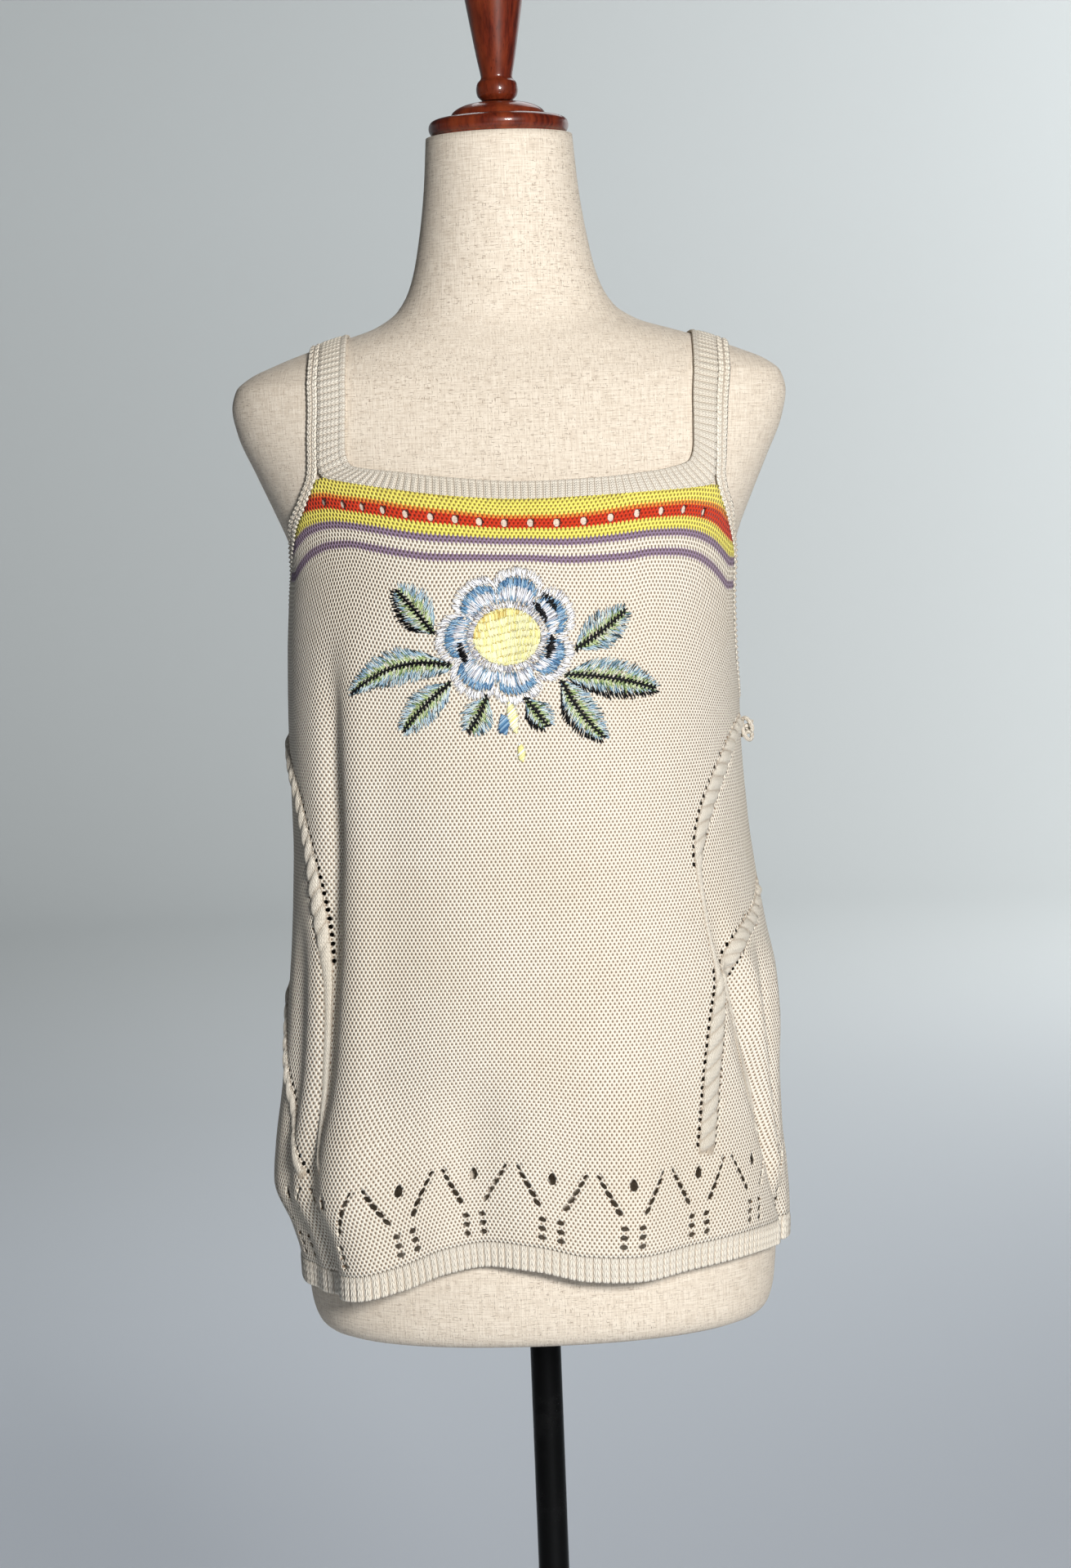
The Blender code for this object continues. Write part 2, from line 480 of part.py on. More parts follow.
def add_hem(name, side, slot):
    """A ribbed hem: a plain inner face, and ribs raised outside."""
    count = int(round(2 * HALF / RIB_PITCH))
    ends = 1 - SLACK
    steps = np.array([0.0, 0.3, 0.7])
    at = ((np.arange(count)[:, None] + steps) / count).ravel()
    at = np.append(at, 1.0) * 2 * ends - ends
    high = np.append(np.tile([1.3, 2.6, 2.6], count), 1.3)
    inside = np.linspace(-ends, ends, count + 1)
    levels = (772.0, 772.0 + RIB_TALL - GAP / 2)
    rings = []
    for level in levels:
        base = panel_at(side, at, level + 0 * at)
        rings.append(base + laid_normal(side, at, level + 0 * at) * high[:, None])
    for level in levels:
        rings.append(panel_at(side, inside, level + 0 * inside))
    n, m = len(at), len(inside)
    low, top, low_in, top_in = 0, n, 2 * n, 2 * n + m
    faces = [(low + i, low + i + 1, top + i + 1, top + i) for i in range(n - 1)]
    faces += [(low_in + i + 1, low_in + i, top_in + i, top_in + i + 1) for i in range(m - 1)]
    for k in range(count):
        o = range(3 * k, 3 * k + 4)
        faces.append((low_in + k, low_in + k + 1) + tuple(low + i for i in reversed(o)))
        faces.append((top_in + k + 1, top_in + k) + tuple(top + i for i in o))
    faces.append((low, top, top_in, low_in))
    faces.append((top + n - 1, low + n - 1, low_in + m - 1, top_in + m - 1))
    flat = set(range(n - 1 + m - 1, len(faces)))
    return add_part(name, np.vstack(rings), faces, slot, flat)


def add_neckband(name, free, seam, slot):
    """A closed ribbed band: two stations to a rib, a crest and a valley."""
    n = len(free)
    high = np.where(np.arange(n) % 2 == 0, 1.4, 2.4)[:, None]
    every = 6
    rings = [lift(free, high), lift(seam, high), lift(free[::every], BED),
             lift(seam[::every], BED)]
    m = len(rings[2])
    a, b, c, d = 0, n, 2 * n, 2 * n + m
    faces = [(a + i, b + i, b + (i + 1) % n, a + (i + 1) % n) for i in range(n)]
    faces += [(c + (i + 1) % m, d + (i + 1) % m, d + i, c + i) for i in range(m)]
    for k in range(m):
        o = [(every * k + j) % n for j in range(every + 1)]
        faces.append(tuple(a + i for i in o) + (c + (k + 1) % m, c + k))
        faces.append(tuple(b + i for i in reversed(o)) + (d + k, d + (k + 1) % m))
    return add_part(name, np.vstack(rings), faces, slot, set(range(n + m, len(faces))))


def add_armband(name, seam, free, slot):
    """A closed narrow band with a rounded outer face."""
    n = len(seam)
    middle = settle((seam + free) / 2)
    rings = [lift(seam, 1.4), lift(middle, 2.7), lift(free, 1.4), lift(free, BED),
             lift(seam, BED)]
    faces = []
    for k in range(5):
        for i in range(n):
            j = (i + 1) % n
            faces.append((k * n + i, k * n + j, (k + 1) % 5 * n + j, (k + 1) % 5 * n + i))
    return add_part(name, np.vstack(rings), faces, slot)


def face_out(part):
    """Turn a closed mesh so that its faces point outwards."""
    mesh = part.data
    mesh.calc_loop_triangles()
    corner = np.array([v.co[:] for v in mesh.vertices])
    t = np.array([tri.vertices[:] for tri in mesh.loop_triangles])
    volume = np.einsum("ij,ij->i", corner[t[:, 0]], np.cross(corner[t[:, 1]], corner[t[:, 2]]))
    if volume.sum() < 0:
        mesh.flip_normals()
    return part


def add_turned(name, profile, segments, slot):
    """A turned solid from its outer profile, listed from the top centre to the bottom centre."""
    mesh = bpy.data.meshes.new(name)
    points = [(r * 0.001, 0, z * 0.001) for r, z in profile]
    mesh.from_pydata(points, [(i, i + 1) for i in range(len(points) - 1)], [])
    mesh.materials.append(bpy.data.materials[slot])
    part = bpy.data.objects.new(name, mesh)
    bpy.data.collections["tank_top"].objects.link(part)
    screw = part.modifiers.new("turn", "SCREW")
    screw.axis, screw.angle = "Z", 2 * math.pi
    screw.steps = screw.render_steps = segments
    screw.use_merge_vertices, screw.merge_threshold = True, 0.0001
    screw.use_smooth_shade = True
    return part


def add_loft(name, rings, slot):
    """A solid skinned over closed rings from bottom to top, with flat ends."""
    n, m = len(rings[0]), len(rings)
    faces = [(k * n + i, k * n + (i + 1) % n, (k + 1) * n + (i + 1) % n, (k + 1) * n + i)
             for k in range(m - 1) for i in range(n)]
    faces += [tuple(reversed(range(n))), tuple(range((m - 1) * n, m * n))]
    return add_part(name, np.vstack(rings), faces, slot, {len(faces) - 1, len(faces) - 2})


def add_knot(name, slot):
    """A small round knot of yarn, a skinned stack of rings."""
    turns = np.arange(10) * 2 * math.pi / 10
    rings = []
    for up in np.sin(np.radians((-72, -40, -8, 24, 52, 76))):
        wide = math.sqrt(1 - up * up)
        unit_ring = np.stack([np.cos(turns) * wide, np.sin(turns) * wide, 0 * turns + up], 1)
        rings.append(unit_ring * KNOT_SIZE + KNOT_MIDDLE)
    add_loft(name, rings, slot)


def start_scene():
    for old in list(bpy.data.objects):
        bpy.data.objects.remove(old, do_unlink=True)
    bpy.context.scene.collection.children.link(bpy.data.collections.new("tank_top"))
    for name, (colour, rough, metal) in MATERIALS.items():
        material = bpy.data.materials.new(name)
        material.use_nodes = True
        shader = material.node_tree.nodes["Principled BSDF"]
        shader.inputs["Base Color"].default_value = colour
        shader.inputs["Roughness"].default_value = rough
        shader.inputs["Metallic"].default_value = metal


def build_mount():
    turns = np.arange(30) * 360 / 30
    add_loft("torso", [form_at(turns, z + 0 * turns) for z in FORM[:, 0]], "linen")
    add_turned("neck_cap", [
        (0, 1504), (14, 1503.5), (23, 1501.5), (29, 1498), (30.5, 1494), (41, 1493.6), (43.5, 1491.5),
        (44.2, 1488), (43.8, 1484.5), (42, 1482.3), (0, 1482.3)], 24, "mahogany")
    add_turned("finial", [
        (0, 1634), (9, 1632.5), (16, 1627), (20.5, 1617), (22, 1604), (21, 1588), (18, 1568),
        (14, 1543), (11, 1525), (9.8, 1518.5), (12.4, 1515), (13.3, 1510.8), (12.2, 1506.8),
        (9.5, 1504.3), (0, 1504.3)], 18, "mahogany")
    top = FORM_BOTTOM - 0.3
    add_turned("pole", [(0, top), (POLE_R, top), (POLE_R, 40.3), (0, 40.3)], 24, "black_metal")
    add_turned("base", [
        (0, 40), (15, 40), (16.5, 38.5), (17, 18), (19, 15), (26, 14), (150, 12.5), (184, 10.5),
        (189, 7.5), (190, 4), (189.5, 0), (0, 0)], 36, "black_metal")


def build_garment():
    neck_free, neck_seam = band_edges(NECKBAND, 420)
    neck = (neck_seam, neck_free)
    arms = {}
    for name, rows in (("left", ARMBAND_LEFT), ("right", ARMBAND_RIGHT)):
        arms[name] = band_edges(rows, 44)
        add_armband("armband_" + name, *arms[name], "knit")
    add_neckband("neckband", neck_free, neck_seam, "knit")
    fine = np.concatenate([np.linspace(-0.95, -0.5, 9), np.linspace(-0.41, 0.41, 10),
                           np.linspace(0.5, 0.97, 13)])
    plain = np.linspace(-0.93, 0.93, 17)
    rows = (842, 856, 878, 904, 930, 958, 988, 1020, 1052, 1085, 1118, 1150, 1180, 1205, 1228)
    columns = [fine if h < 1030 else plain for h in rows]
    lines, rises = cable_lines()
    eyes = [np.array([(s * HALF + dx * EYELET_WIDE / 2, z + dz * EYELET_TALL / 2)
                      for dx, dz in ((-1, -1), (1, -1), (1, 1), (-1, 1))]) for s, z in EYELETS]
    add_panel("front_panel", -1, panel_edge(-1, neck, arms["left"], arms["right"]), columns, rows,
              lace_holes() + eyes, lines, rises, "knit")
    back_rows = (842, 862, 895, 930, 970, 1010, 1055, 1100, 1145, 1190, 1225)
    back_columns = [np.linspace(-0.92, 0.92, 14)] * len(back_rows)
    add_panel("back_panel", 1, panel_edge(1, neck, arms["left"], arms["right"]), back_columns,
              back_rows, lace_holes(), [], [], "knit")
    add_hem("front_hem", -1, "knit")
    add_hem("back_hem", 1, "knit")
    add_knot("side_knot", "knit")


start_scene()
build_mount()
build_garment()
for part in bpy.data.collections["tank_top"].objects:
    if not part.modifiers:
        face_out(part)
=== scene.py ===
"""Knit tank top on a linen dress form: the finish of every piece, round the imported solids.

Sizes are in millimetres and become metres when a mesh is made. The front faces -Y and +Z is up.
"""
import math

import bmesh
import bpy
import numpy as np
from mathutils import Matrix
from mathutils.geometry import delaunay_2d_cdt


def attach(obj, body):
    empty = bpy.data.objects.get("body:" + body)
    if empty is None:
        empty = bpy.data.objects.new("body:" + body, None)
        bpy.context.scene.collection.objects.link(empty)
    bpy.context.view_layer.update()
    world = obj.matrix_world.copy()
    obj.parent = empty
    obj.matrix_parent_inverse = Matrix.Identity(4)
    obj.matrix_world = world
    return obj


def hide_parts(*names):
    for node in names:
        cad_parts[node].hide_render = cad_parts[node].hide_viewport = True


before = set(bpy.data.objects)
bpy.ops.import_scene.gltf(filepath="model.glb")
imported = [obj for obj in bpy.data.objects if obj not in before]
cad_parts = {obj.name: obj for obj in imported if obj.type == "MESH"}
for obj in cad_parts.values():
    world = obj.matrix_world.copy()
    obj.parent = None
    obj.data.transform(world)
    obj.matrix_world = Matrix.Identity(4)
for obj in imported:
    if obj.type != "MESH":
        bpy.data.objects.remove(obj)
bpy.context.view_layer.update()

# ---- Camera: at chest height, a little more than two metres off, tipped down and rolled slightly,
# with a long lens. Its sizes are in metres.
CAMERA_AIM = np.array([0.0075, 0.0, 1.07])
CAMERA_AWAY, CAMERA_PITCH, CAMERA_ROLL = 2.24, math.radians(4.25), math.radians(2.2)
LENS, SENSOR = 80.0, 36.0
ahead = np.array([0, math.cos(CAMERA_PITCH), -math.sin(CAMERA_PITCH)])
level, upward = np.array([1.0, 0, 0]), np.array([0, math.sin(CAMERA_PITCH), math.cos(CAMERA_PITCH)])
rightward = math.cos(CAMERA_ROLL) * level - math.sin(CAMERA_ROLL) * upward
upward = math.sin(CAMERA_ROLL) * level + math.cos(CAMERA_ROLL) * upward


def standing(x_axis, y_axis, z_axis, place):
    """The matrix of an object that stands at a place, turned to three axes."""
    matrix = np.eye(4)
    matrix[:3] = np.stack([x_axis, y_axis, z_axis, place], 1)
    return Matrix(matrix.tolist())


camera = bpy.data.objects.new("camera", bpy.data.cameras.new("camera"))
camera.data.lens, camera.data.sensor_width = LENS, SENSOR
camera.matrix_world = standing(rightward, upward, -ahead, CAMERA_AIM - CAMERA_AWAY * ahead)
bpy.context.scene.collection.objects.link(camera)
bpy.context.scene.camera = camera


# ---- Dress form: a hollow moulded body without limbs, covered in one layer of stretched linen
# with dark slubs. Its lower edge is turned in, and its neck ends under the wooden cap.
# Sections: height, half-width, depth to the front, depth to the back, power.
FORM = np.array([
    (722.0, 122, 78, 86, 2.2), (725, 138, 91, 99, 2.2), (733, 146, 98, 106, 2.2),
    (748, 150, 102, 110, 2.15), (785, 152.5, 106, 115, 2.15), (840, 152, 105.5, 116, 2.15),
    (890, 147, 101, 111, 2.15), (935, 139, 96, 104, 2.2), (980, 130, 91, 96, 2.25),
    (1030, 124, 88, 90, 2.3), (1080, 126, 92, 88, 2.3),
    (1120, 130, 102, 90, 2.35), (1160, 133.5, 112, 93, 2.35), (1190, 135, 113, 95, 2.3),
    (1210, 138, 109, 96, 2.3), (1228, 143, 103.5, 96, 2.25), (1250, 152, 95.5, 94.5, 2.2),
    (1275, 163, 85, 91, 2.1), (1300, 173.5, 75.5, 85, 2.0), (1316, 176.5, 69, 79, 1.95),
    (1328, 173.5, 63.5, 73, 1.95), (1336, 164, 59.5, 69, 1.9), (1343, 148, 56, 65.5, 1.9),
    (1350, 129, 53, 62, 1.9), (1357, 106, 50, 58.5, 1.9), (1364, 84, 48, 55.5, 1.95),
    (1374, 69, 46.5, 53, 2.0), (1390, 60, 45.5, 51, 2.0), (1415, 54, 45, 49.5, 2.0),
    (1450, 49, 44.5, 48, 2.0), (1482, 46.5, 44.5, 47, 2.0)])


def cubic(f, step, first, second, slope_first, slope_second):
    """The cubic that runs over a step from one value and slope to another, at a share f of it."""
    return ((1 + 2 * f) * (1 - f) ** 2 * first + f * (1 - f) ** 2 * step * slope_first
            + f * f * (3 - 2 * f) * second + f * f * (f - 1) * step * slope_second)


def smooth(table, column, at):
    """A monotone cubic curve through one column of a table, held at its ends."""
    x, y = table[:, 0], table[:, column]
    step = np.diff(x)
    rise = np.diff(y) / step
    tangent = np.concatenate([rise[:1], 0 * rise[1:], rise[-1:]])
    same = rise[:-1] * rise[1:] > 0
    near, far = 2 * step[1:] + step[:-1], step[1:] + 2 * step[:-1]
    low, high = np.where(same, rise[:-1], 1), np.where(same, rise[1:], 1)
    tangent[1:-1] = np.where(same, (near + far) / (near / low + far / high), 0)
    at = np.clip(at, x[0], x[-1])
    i = np.clip(np.searchsorted(x, at, side="right") - 1, 0, len(x) - 2)
    return cubic((at - x[i]) / step[i], step[i], y[i], y[i + 1], tangent[i], tangent[i + 1])


def unit(v):
    """Each row of an array divided by its length."""
    return v / np.linalg.norm(v, axis=-1, keepdims=True)


def ease(x):
    """0 below 0, 1 above 1, and the S-curve 3xx - 2xxx between."""
    x = np.clip(x, 0, 1)
    return x * x * (3 - 2 * x)


def on_section(turn, z, left, right, front, back, power):
    """Points of a section |x/a|^p + |y/b|^p = 1. The turn is 0 at the front, in degrees."""
    s, c = np.sin(np.radians(turn)), np.cos(np.radians(turn))
    size = (np.abs(s) ** power + np.abs(c) ** power) ** (-1 / power)
    x = np.where(s < 0, left, right) * s * size
    return np.stack([x, -np.where(c > 0, front, back) * c * size, z + 0 * x], -1)


def lengths_along(points):
    """The running length of each line of points, from 0."""
    steps = np.linalg.norm(np.diff(points, axis=-2), axis=-1)
    return np.concatenate([0 * steps[..., :1], np.cumsum(steps, -1)], -1)


def finish_piece(name, mesh, material):
    """Links a mesh as a piece: smooth, with its material, riding on the root."""
    mesh.name = name
    mesh.materials.append(material)
    mesh.polygons.foreach_set("use_smooth", np.ones(len(mesh.polygons), bool))
    piece = bpy.data.objects.new(name, mesh)
    bpy.context.scene.collection.objects.link(piece)
    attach(piece, "root")
    return piece


def face_outwards(mesh, merge=False, side=0):
    """Turns a mesh's faces outwards, its doubles merged first if asked. An open sheet is turned to
    its side: -1 is the front and 1 the back."""
    work = bmesh.new()
    work.from_mesh(mesh)
    if merge:
        bmesh.ops.remove_doubles(work, verts=work.verts, dist=2e-6)
    bmesh.ops.recalc_face_normals(work, faces=work.faces)
    if side and sum(face.normal.y * side * face.calc_area() for face in work.faces) < 0:
        bmesh.ops.reverse_faces(work, faces=work.faces)
    work.to_mesh(mesh)
    work.free()


def grid_mesh(points, uv, around=(False, True)):
    """A mesh over a grid of points in millimetres, rows by columns. The around flags join its last
    row or column to its first, and uv has a row or column more there. Doubles are merged."""
    spot = np.arange(points.shape[0] * points.shape[1]).reshape(points.shape[:2])
    spot = np.pad(spot, [(0, int(joined)) for joined in around], mode="wrap")
    here = np.arange(spot.size).reshape(spot.shape)
    corner = np.stack([here[:-1, :-1], here[:-1, 1:], here[1:, 1:], here[1:, :-1]], -1).ravel()
    mesh = bpy.data.meshes.new("grid")
    mesh.from_pydata((points.reshape(-1, 3) * 0.001).tolist(), [],
                     spot.ravel()[corner].reshape(-1, 4).tolist())
    mesh.uv_layers.new(name="cloth").data.foreach_set("uv", uv.reshape(-1, 2)[corner].ravel())
    face_outwards(mesh, merge=True)
    return mesh


def add_node(tree, kind, values=(), **settings):
    """A shader node with its settings, and its inputs set or linked by place or name."""
    made = tree.nodes.new("ShaderNode" + kind)
    for key, value in settings.items():
        setattr(made, key, value)
    for place, value in dict(values).items():
        if isinstance(value, bpy.types.NodeSocket):
            tree.links.new(value, made.inputs[place])
        else:
            made.inputs[place].default_value = value
    return made


def calc(work, *values):
    """The result of a Math node, in the tree of the first socket among its values."""
    tree = next(value.id_data for value in values if isinstance(value, bpy.types.NodeSocket))
    return add_node(tree, "Math", enumerate(values), operation=work).outputs[0]


def mixed(share, first, second, way="MIX"):
    """The result of a colour Mix node."""
    return add_node(share.id_data, "Mix", {0: share, 6: first, 7: second}, data_type="RGBA",
                    blend_type=way).outputs[2]


def new_material(name, **values):
    """A material with its Principled shader's own values set."""
    material = bpy.data.materials.new(name)
    material.use_nodes = True
    shader = material.node_tree.nodes["Principled BSDF"]
    for key, value in values.items():
        shader.inputs[key.replace("_", " ")].default_value = value
    return material, material.node_tree, shader


def noise(vector, scale, detail=2.0, rough=0.5):
    """The value of a Noise node."""
    return add_node(vector.id_data, "TexNoise", {"Vector": vector, "Scale": scale, "Detail": detail,
                                                 "Roughness": rough}).outputs[0]


def between(value, low, high, to_low=0.0, to_high=1.0):
    """The value mapped smoothly from one range to another."""
    return add_node(value.id_data, "MapRange", {0: value, 1: low, 2: high, 3: to_low, 4: to_high},
                    interpolation_type="SMOOTHSTEP").outputs[0]


def drawn_out(vector, *scale):
    """Coordinates scaled by different amounts each way, so that a pattern on them is stretched."""
    return add_node(vector.id_data, "Mapping", {"Vector": vector, "Scale": scale}).outputs[0]


def object_place(tree):
    """The place on the piece, in metres."""
    return add_node(tree, "TexCoord").outputs["Object"]


def cloth_place(tree):
    """The piece's own cloth coordinates."""
    return add_node(tree, "UVMap", uv_map="cloth").outputs[0]


def dress(tree, shader, colour, height, strength, depth):
    """Links a colour to a shader, and a height as its relief, so many metres deep."""
    tree.links.new(colour, shader.inputs["Base Color"])
    bump = add_node(tree, "Bump", {"Strength": strength, "Distance": depth, "Height": height})
    tree.links.new(bump.outputs[0], shader.inputs["Normal"])


LINEN_THREAD = 0.6
LINEN_SHADE, LINEN_LIGHT = (0.63, 0.54, 0.435, 1), (0.80, 0.715, 0.60, 1)
LINEN_WARM, SLUB_BROWN = (0.82, 0.735, 0.625, 1), (0.34, 0.27, 0.21, 1)
linen, tree, shader = new_material("linen", Roughness=0.86, Specular_IOR_Level=0.25,
                                   Sheen_Weight=0.05, Sheen_Roughness=0.5)
laid = cloth_place(tree)
across, along, _ = add_node(tree, "SeparateXYZ", {0: laid}).outputs
spread = noise(laid, 9.0, 3.0)
level_slub, upright_slub, level_streak, upright_streak = (
    noise(drawn_out(laid, *scale, 1.0), 1.0, 1.5)
    for scale in ((210.0, 1500.0), (1500.0, 260.0), (70.0, 1100.0), (1100.0, 70.0)))
slubs = calc("MAXIMUM", between(level_slub, 0.62, 0.68), between(upright_slub, 0.63, 0.69))
streaks = between(calc("ADD", level_streak, upright_streak), 0.72, 1.28)
ground = mixed(streaks, LINEN_SHADE, LINEN_LIGHT)
ground = mixed(calc("MULTIPLY", spread, 0.25), ground, LINEN_WARM)
slubs = calc("MULTIPLY", slubs, between(spread, 0.3, 0.7, 0.5, 1.0))
warp, weft = (calc("SINE", calc("MULTIPLY", way, 2000 * math.pi / LINEN_THREAD))
              for way in (across, along))
weave = calc("MULTIPLY_ADD", calc("MULTIPLY", warp, weft), 0.3, streaks)
dress(tree, shader, mixed(slubs, ground, SLUB_BROWN), weave, 0.35, 0.0003)

FORM_COLUMNS = 168
FORM_TUCK, TUCK_RISE = (0.93, 0.90, 1), (0, 0, 0.6)  # how its lower edge turns in
rows = np.unique(np.concatenate([
    np.linspace(722, 750, 15), np.linspace(750, 1225, 60), np.linspace(1225, 1310, 24),
    np.linspace(1310, 1374, 44), np.linspace(1374, 1482, 26)]))
turns = np.linspace(-180, 180, FORM_COLUMNS + 1)
z = rows[:, None] + 0 * turns
wide = smooth(FORM, 1, z)
body = on_section(turns + 0 * z, z, wide, wide, *(smooth(FORM, k, z) for k in (2, 3, 4)))
foot = body[:1] * FORM_TUCK + TUCK_RISE
middle_low, middle_top = body[:1] * (0, 0, 1) + TUCK_RISE, body[-1:] * (0, 0, 1)
body = np.concatenate([middle_low, foot, body, middle_top])
girth = lengths_along(body)
rise = lengths_along(body.transpose(1, 0, 2)).mean(0)
uv = np.stack([girth - girth[:, -1:] / 2, rise[:, None] + 0 * girth], -1) * 0.001
torso = finish_piece("torso_linen", grid_mesh(body[:, :-1], uv), linen)
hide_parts("torso")


# ---- Neck cap and finial: turned hardwood, stained red-brown and lacquered to a high gloss. The
# cap sits over the raw edge of the linen, and the handle above it screws down through its dome.
def rounded(profile, times):
    """A line of points with its corners cut a quarter from each end, several times over."""
    p = np.array(profile, float)
    for _ in range(times):
        cut = np.stack([0.75 * p[:-1] + 0.25 * p[1:], 0.25 * p[:-1] + 0.75 * p[1:]], 1)
        p = np.concatenate([p[:1], cut.reshape(-1, p.shape[1]), p[-1:]])
    return p


def turned(profile, columns=96):
    """Points and uv of a profile of (radius, height) carried round the upright axis."""
    p = np.asarray(profile)
    angle = np.linspace(0, 2 * np.pi, columns + 1)
    points = np.stack([p[:, :1] * np.cos(angle), p[:, :1] * np.sin(angle),
                       p[:, 1:] + 0 * angle], -1)
    run = lengths_along(p)
    uv = np.stack([angle * 20 + 0 * run[:, None], run[:, None] + 0 * angle], -1) * 0.001
    return points[:, :-1], uv


STAIN_DARK, STAIN_RED = (0.045, 0.005, 0.003, 1), (0.15, 0.020, 0.008, 1)
STAIN_WARM, PORE_DARK = (0.22, 0.040, 0.012, 1), (0.03, 0.004, 0.002, 1)
mahogany, tree, shader = new_material(
    "mahogany", Roughness=0.35, Specular_IOR_Level=0.2, Coat_Weight=0.45, Coat_Roughness=0.05)
drawn = drawn_out(object_place(tree), 1.0, 1.0, 0.09)
grain = noise(drawn, 420.0, 5.0, 0.6)
figure = noise(drawn, 70.0, 3.0)
pores = between(noise(drawn, 1500.0, 1.0), 0.6, 0.75)
stain = mixed(between(grain, 0.3, 0.7), STAIN_DARK, STAIN_RED)
stain = mixed(between(figure, 0.35, 0.7), stain, STAIN_WARM)
stain = mixed(calc("MULTIPLY", pores, 0.6), stain, PORE_DARK)
dress(tree, shader, stain, grain, 0.12, 0.0002)

CAP = [(0, 1504), (14, 1503.6), (23, 1501.6), (28.6, 1498.4), (30.2, 1495.6), (30.6, 1494.4),
       (33, 1494.2), (39.5, 1493.6), (43.0, 1492.2), (44.4, 1489.6), (44.4, 1486.6),
       (43.2, 1484.2), (41.6, 1483.4), (41.4, 1482.3), (0, 1482.3)]
HANDLE = [(0, 1634), (9, 1632.9), (15, 1628.8), (19.6, 1620), (21.9, 1608), (21.6, 1592),
          (19.0, 1572), (15.4, 1550), (12.2, 1531), (10.2, 1521.5), (9.9, 1519), (10.6, 1517.6),
          (12.5, 1516), (13.4, 1511.9), (12.8, 1507.6), (10.4, 1505.4), (9.5, 1504.3), (0, 1504.3)]
for name, profile in (("neck_cap", CAP), ("finial", HANDLE)):
    mesh = grid_mesh(*turned(rounded(profile, 3)))
    piece = finish_piece(name + "_wood", mesh, mahogany)
    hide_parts(name)


# ---- Pole and base: a steel tube in gloss black paint that goes up into the form, on a heavy
# pressed steel disc with a short collar. The foot stands on the floor.
POLE_R, POLE_TOP = 10.0, FORM[0, 0] - 0.3
BLACK, BLACK_DUST = (0.001, 0.001, 0.001, 1), (0.004, 0.004, 0.004, 1)
black, tree, shader = new_material("black_metal", Roughness=0.2, Specular_IOR_Level=0.1,
                                   Coat_Weight=0.06, Coat_Roughness=0.04)
dust = noise(object_place(tree), 60.0, 4.0, 0.65)
tree.links.new(mixed(between(dust, 0.45, 0.8), BLACK, BLACK_DUST),
               shader.inputs["Base Color"])
tree.links.new(between(dust, 0.3, 0.8, 0.16, 0.34), shader.inputs["Roughness"])
POLE = [(0, POLE_TOP), (POLE_R, POLE_TOP), (POLE_R, POLE_TOP - 1), (POLE_R, POLE_TOP - 60),
        (POLE_R, 400), (POLE_R, 120), (POLE_R, 41.3), (POLE_R, 40.3), (0, 40.3)]
BASE = [(0, 40), (14.4, 40), (16.1, 39.4), (16.9, 37.8), (17, 30), (17, 20), (18, 16.4),
        (22, 14.4), (30, 13.9), (90, 13.3), (150, 12.5), (175, 11.4), (184.5, 10.2), (188.6, 7.6),
        (190, 4), (189.6, 1.2), (188.6, 0), (0, 0)]
for name, profile in (("pole", POLE), ("base", rounded(BASE, 2))):
    mesh = grid_mesh(*turned(profile))
    piece = finish_piece(name + "_steel", mesh, black)
    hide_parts(name)


# ---- Front and back panels: cotton knitted to shape on the purl side, about 36 stitches and 47
# rows to 10 cm, with twisted cables, a lace border and eyelet holes left in by the needles.
CLOTH, SHELL = 2.0, 1.7  # thickness of the cloth, and of its wall under the stitches
EASE, GAP = 1.2, 0.35  # room over the shoulders, and between the panels at a side seam
HALF = 245.0  # half of a panel's width, which the shares of -1 to 1 stand for
RIB_TALL, RIB_PITCH, HEM_LOW = 15.0, 5.0, 772.0
RIB_TOP = HEM_LOW + RIB_TALL
WALE, COURSE = 2.8, 2.15
# The cloth's inner face where it hangs: height, left, right, front, back, power.
HANG = np.array([
    (750.0, 153, 157, 120, 122.5, 2.25), (772, 153.5, 158.5, 120, 122.5, 2.25),
    (795, 159, 159.5, 119.5, 122, 2.25), (822, 169, 158.5, 118.5, 121, 2.25),
    (845, 167, 156.5, 117.5, 120.5, 2.25), (880, 161.5, 156, 117, 118.5, 2.25),
    (915, 157, 157.5, 117, 115.5, 2.25), (945, 154, 156, 116.5, 112.5, 2.25),
    (975, 151, 150.5, 116.5, 109, 2.25), (1010, 148.5, 145, 116.5, 105.5, 2.3),
    (1045, 147, 141, 117, 102, 2.3), (1105, 147, 138, 118, 98.5, 2.35),
    (1160, 145.5, 138.5, 118, 97, 2.35), (1190, 143.5, 139.5, 115.6, 97.4, 2.3),
    (1210, 141.6, 141.5, 111, 98, 2.3)])
# How the chart turns round the body: share of a panel, degrees at the hem, degrees at the bust.
TURN_FRONT = np.array([
    (-1.0, -94, -98), (-0.7, -70.5, -65), (-0.5, -47, -46), (-0.3, -29.5, -28.5),
    (-0.1, -15, -10), (0.1, 2, 8), (0.3, 19.5, 26), (0.5, 35.7, 43.5), (0.7, 53.5, 61),
    (0.9, 67.5, 80), (1.0, 76, 90)])
TURN_BACK = np.array([
    (-1.0, 76, 90), (-0.6, 112, 124), (-0.2, 150, 159), (0.2, 189, 194), (0.6, 228, 229),
    (1.0, 266, 262)])
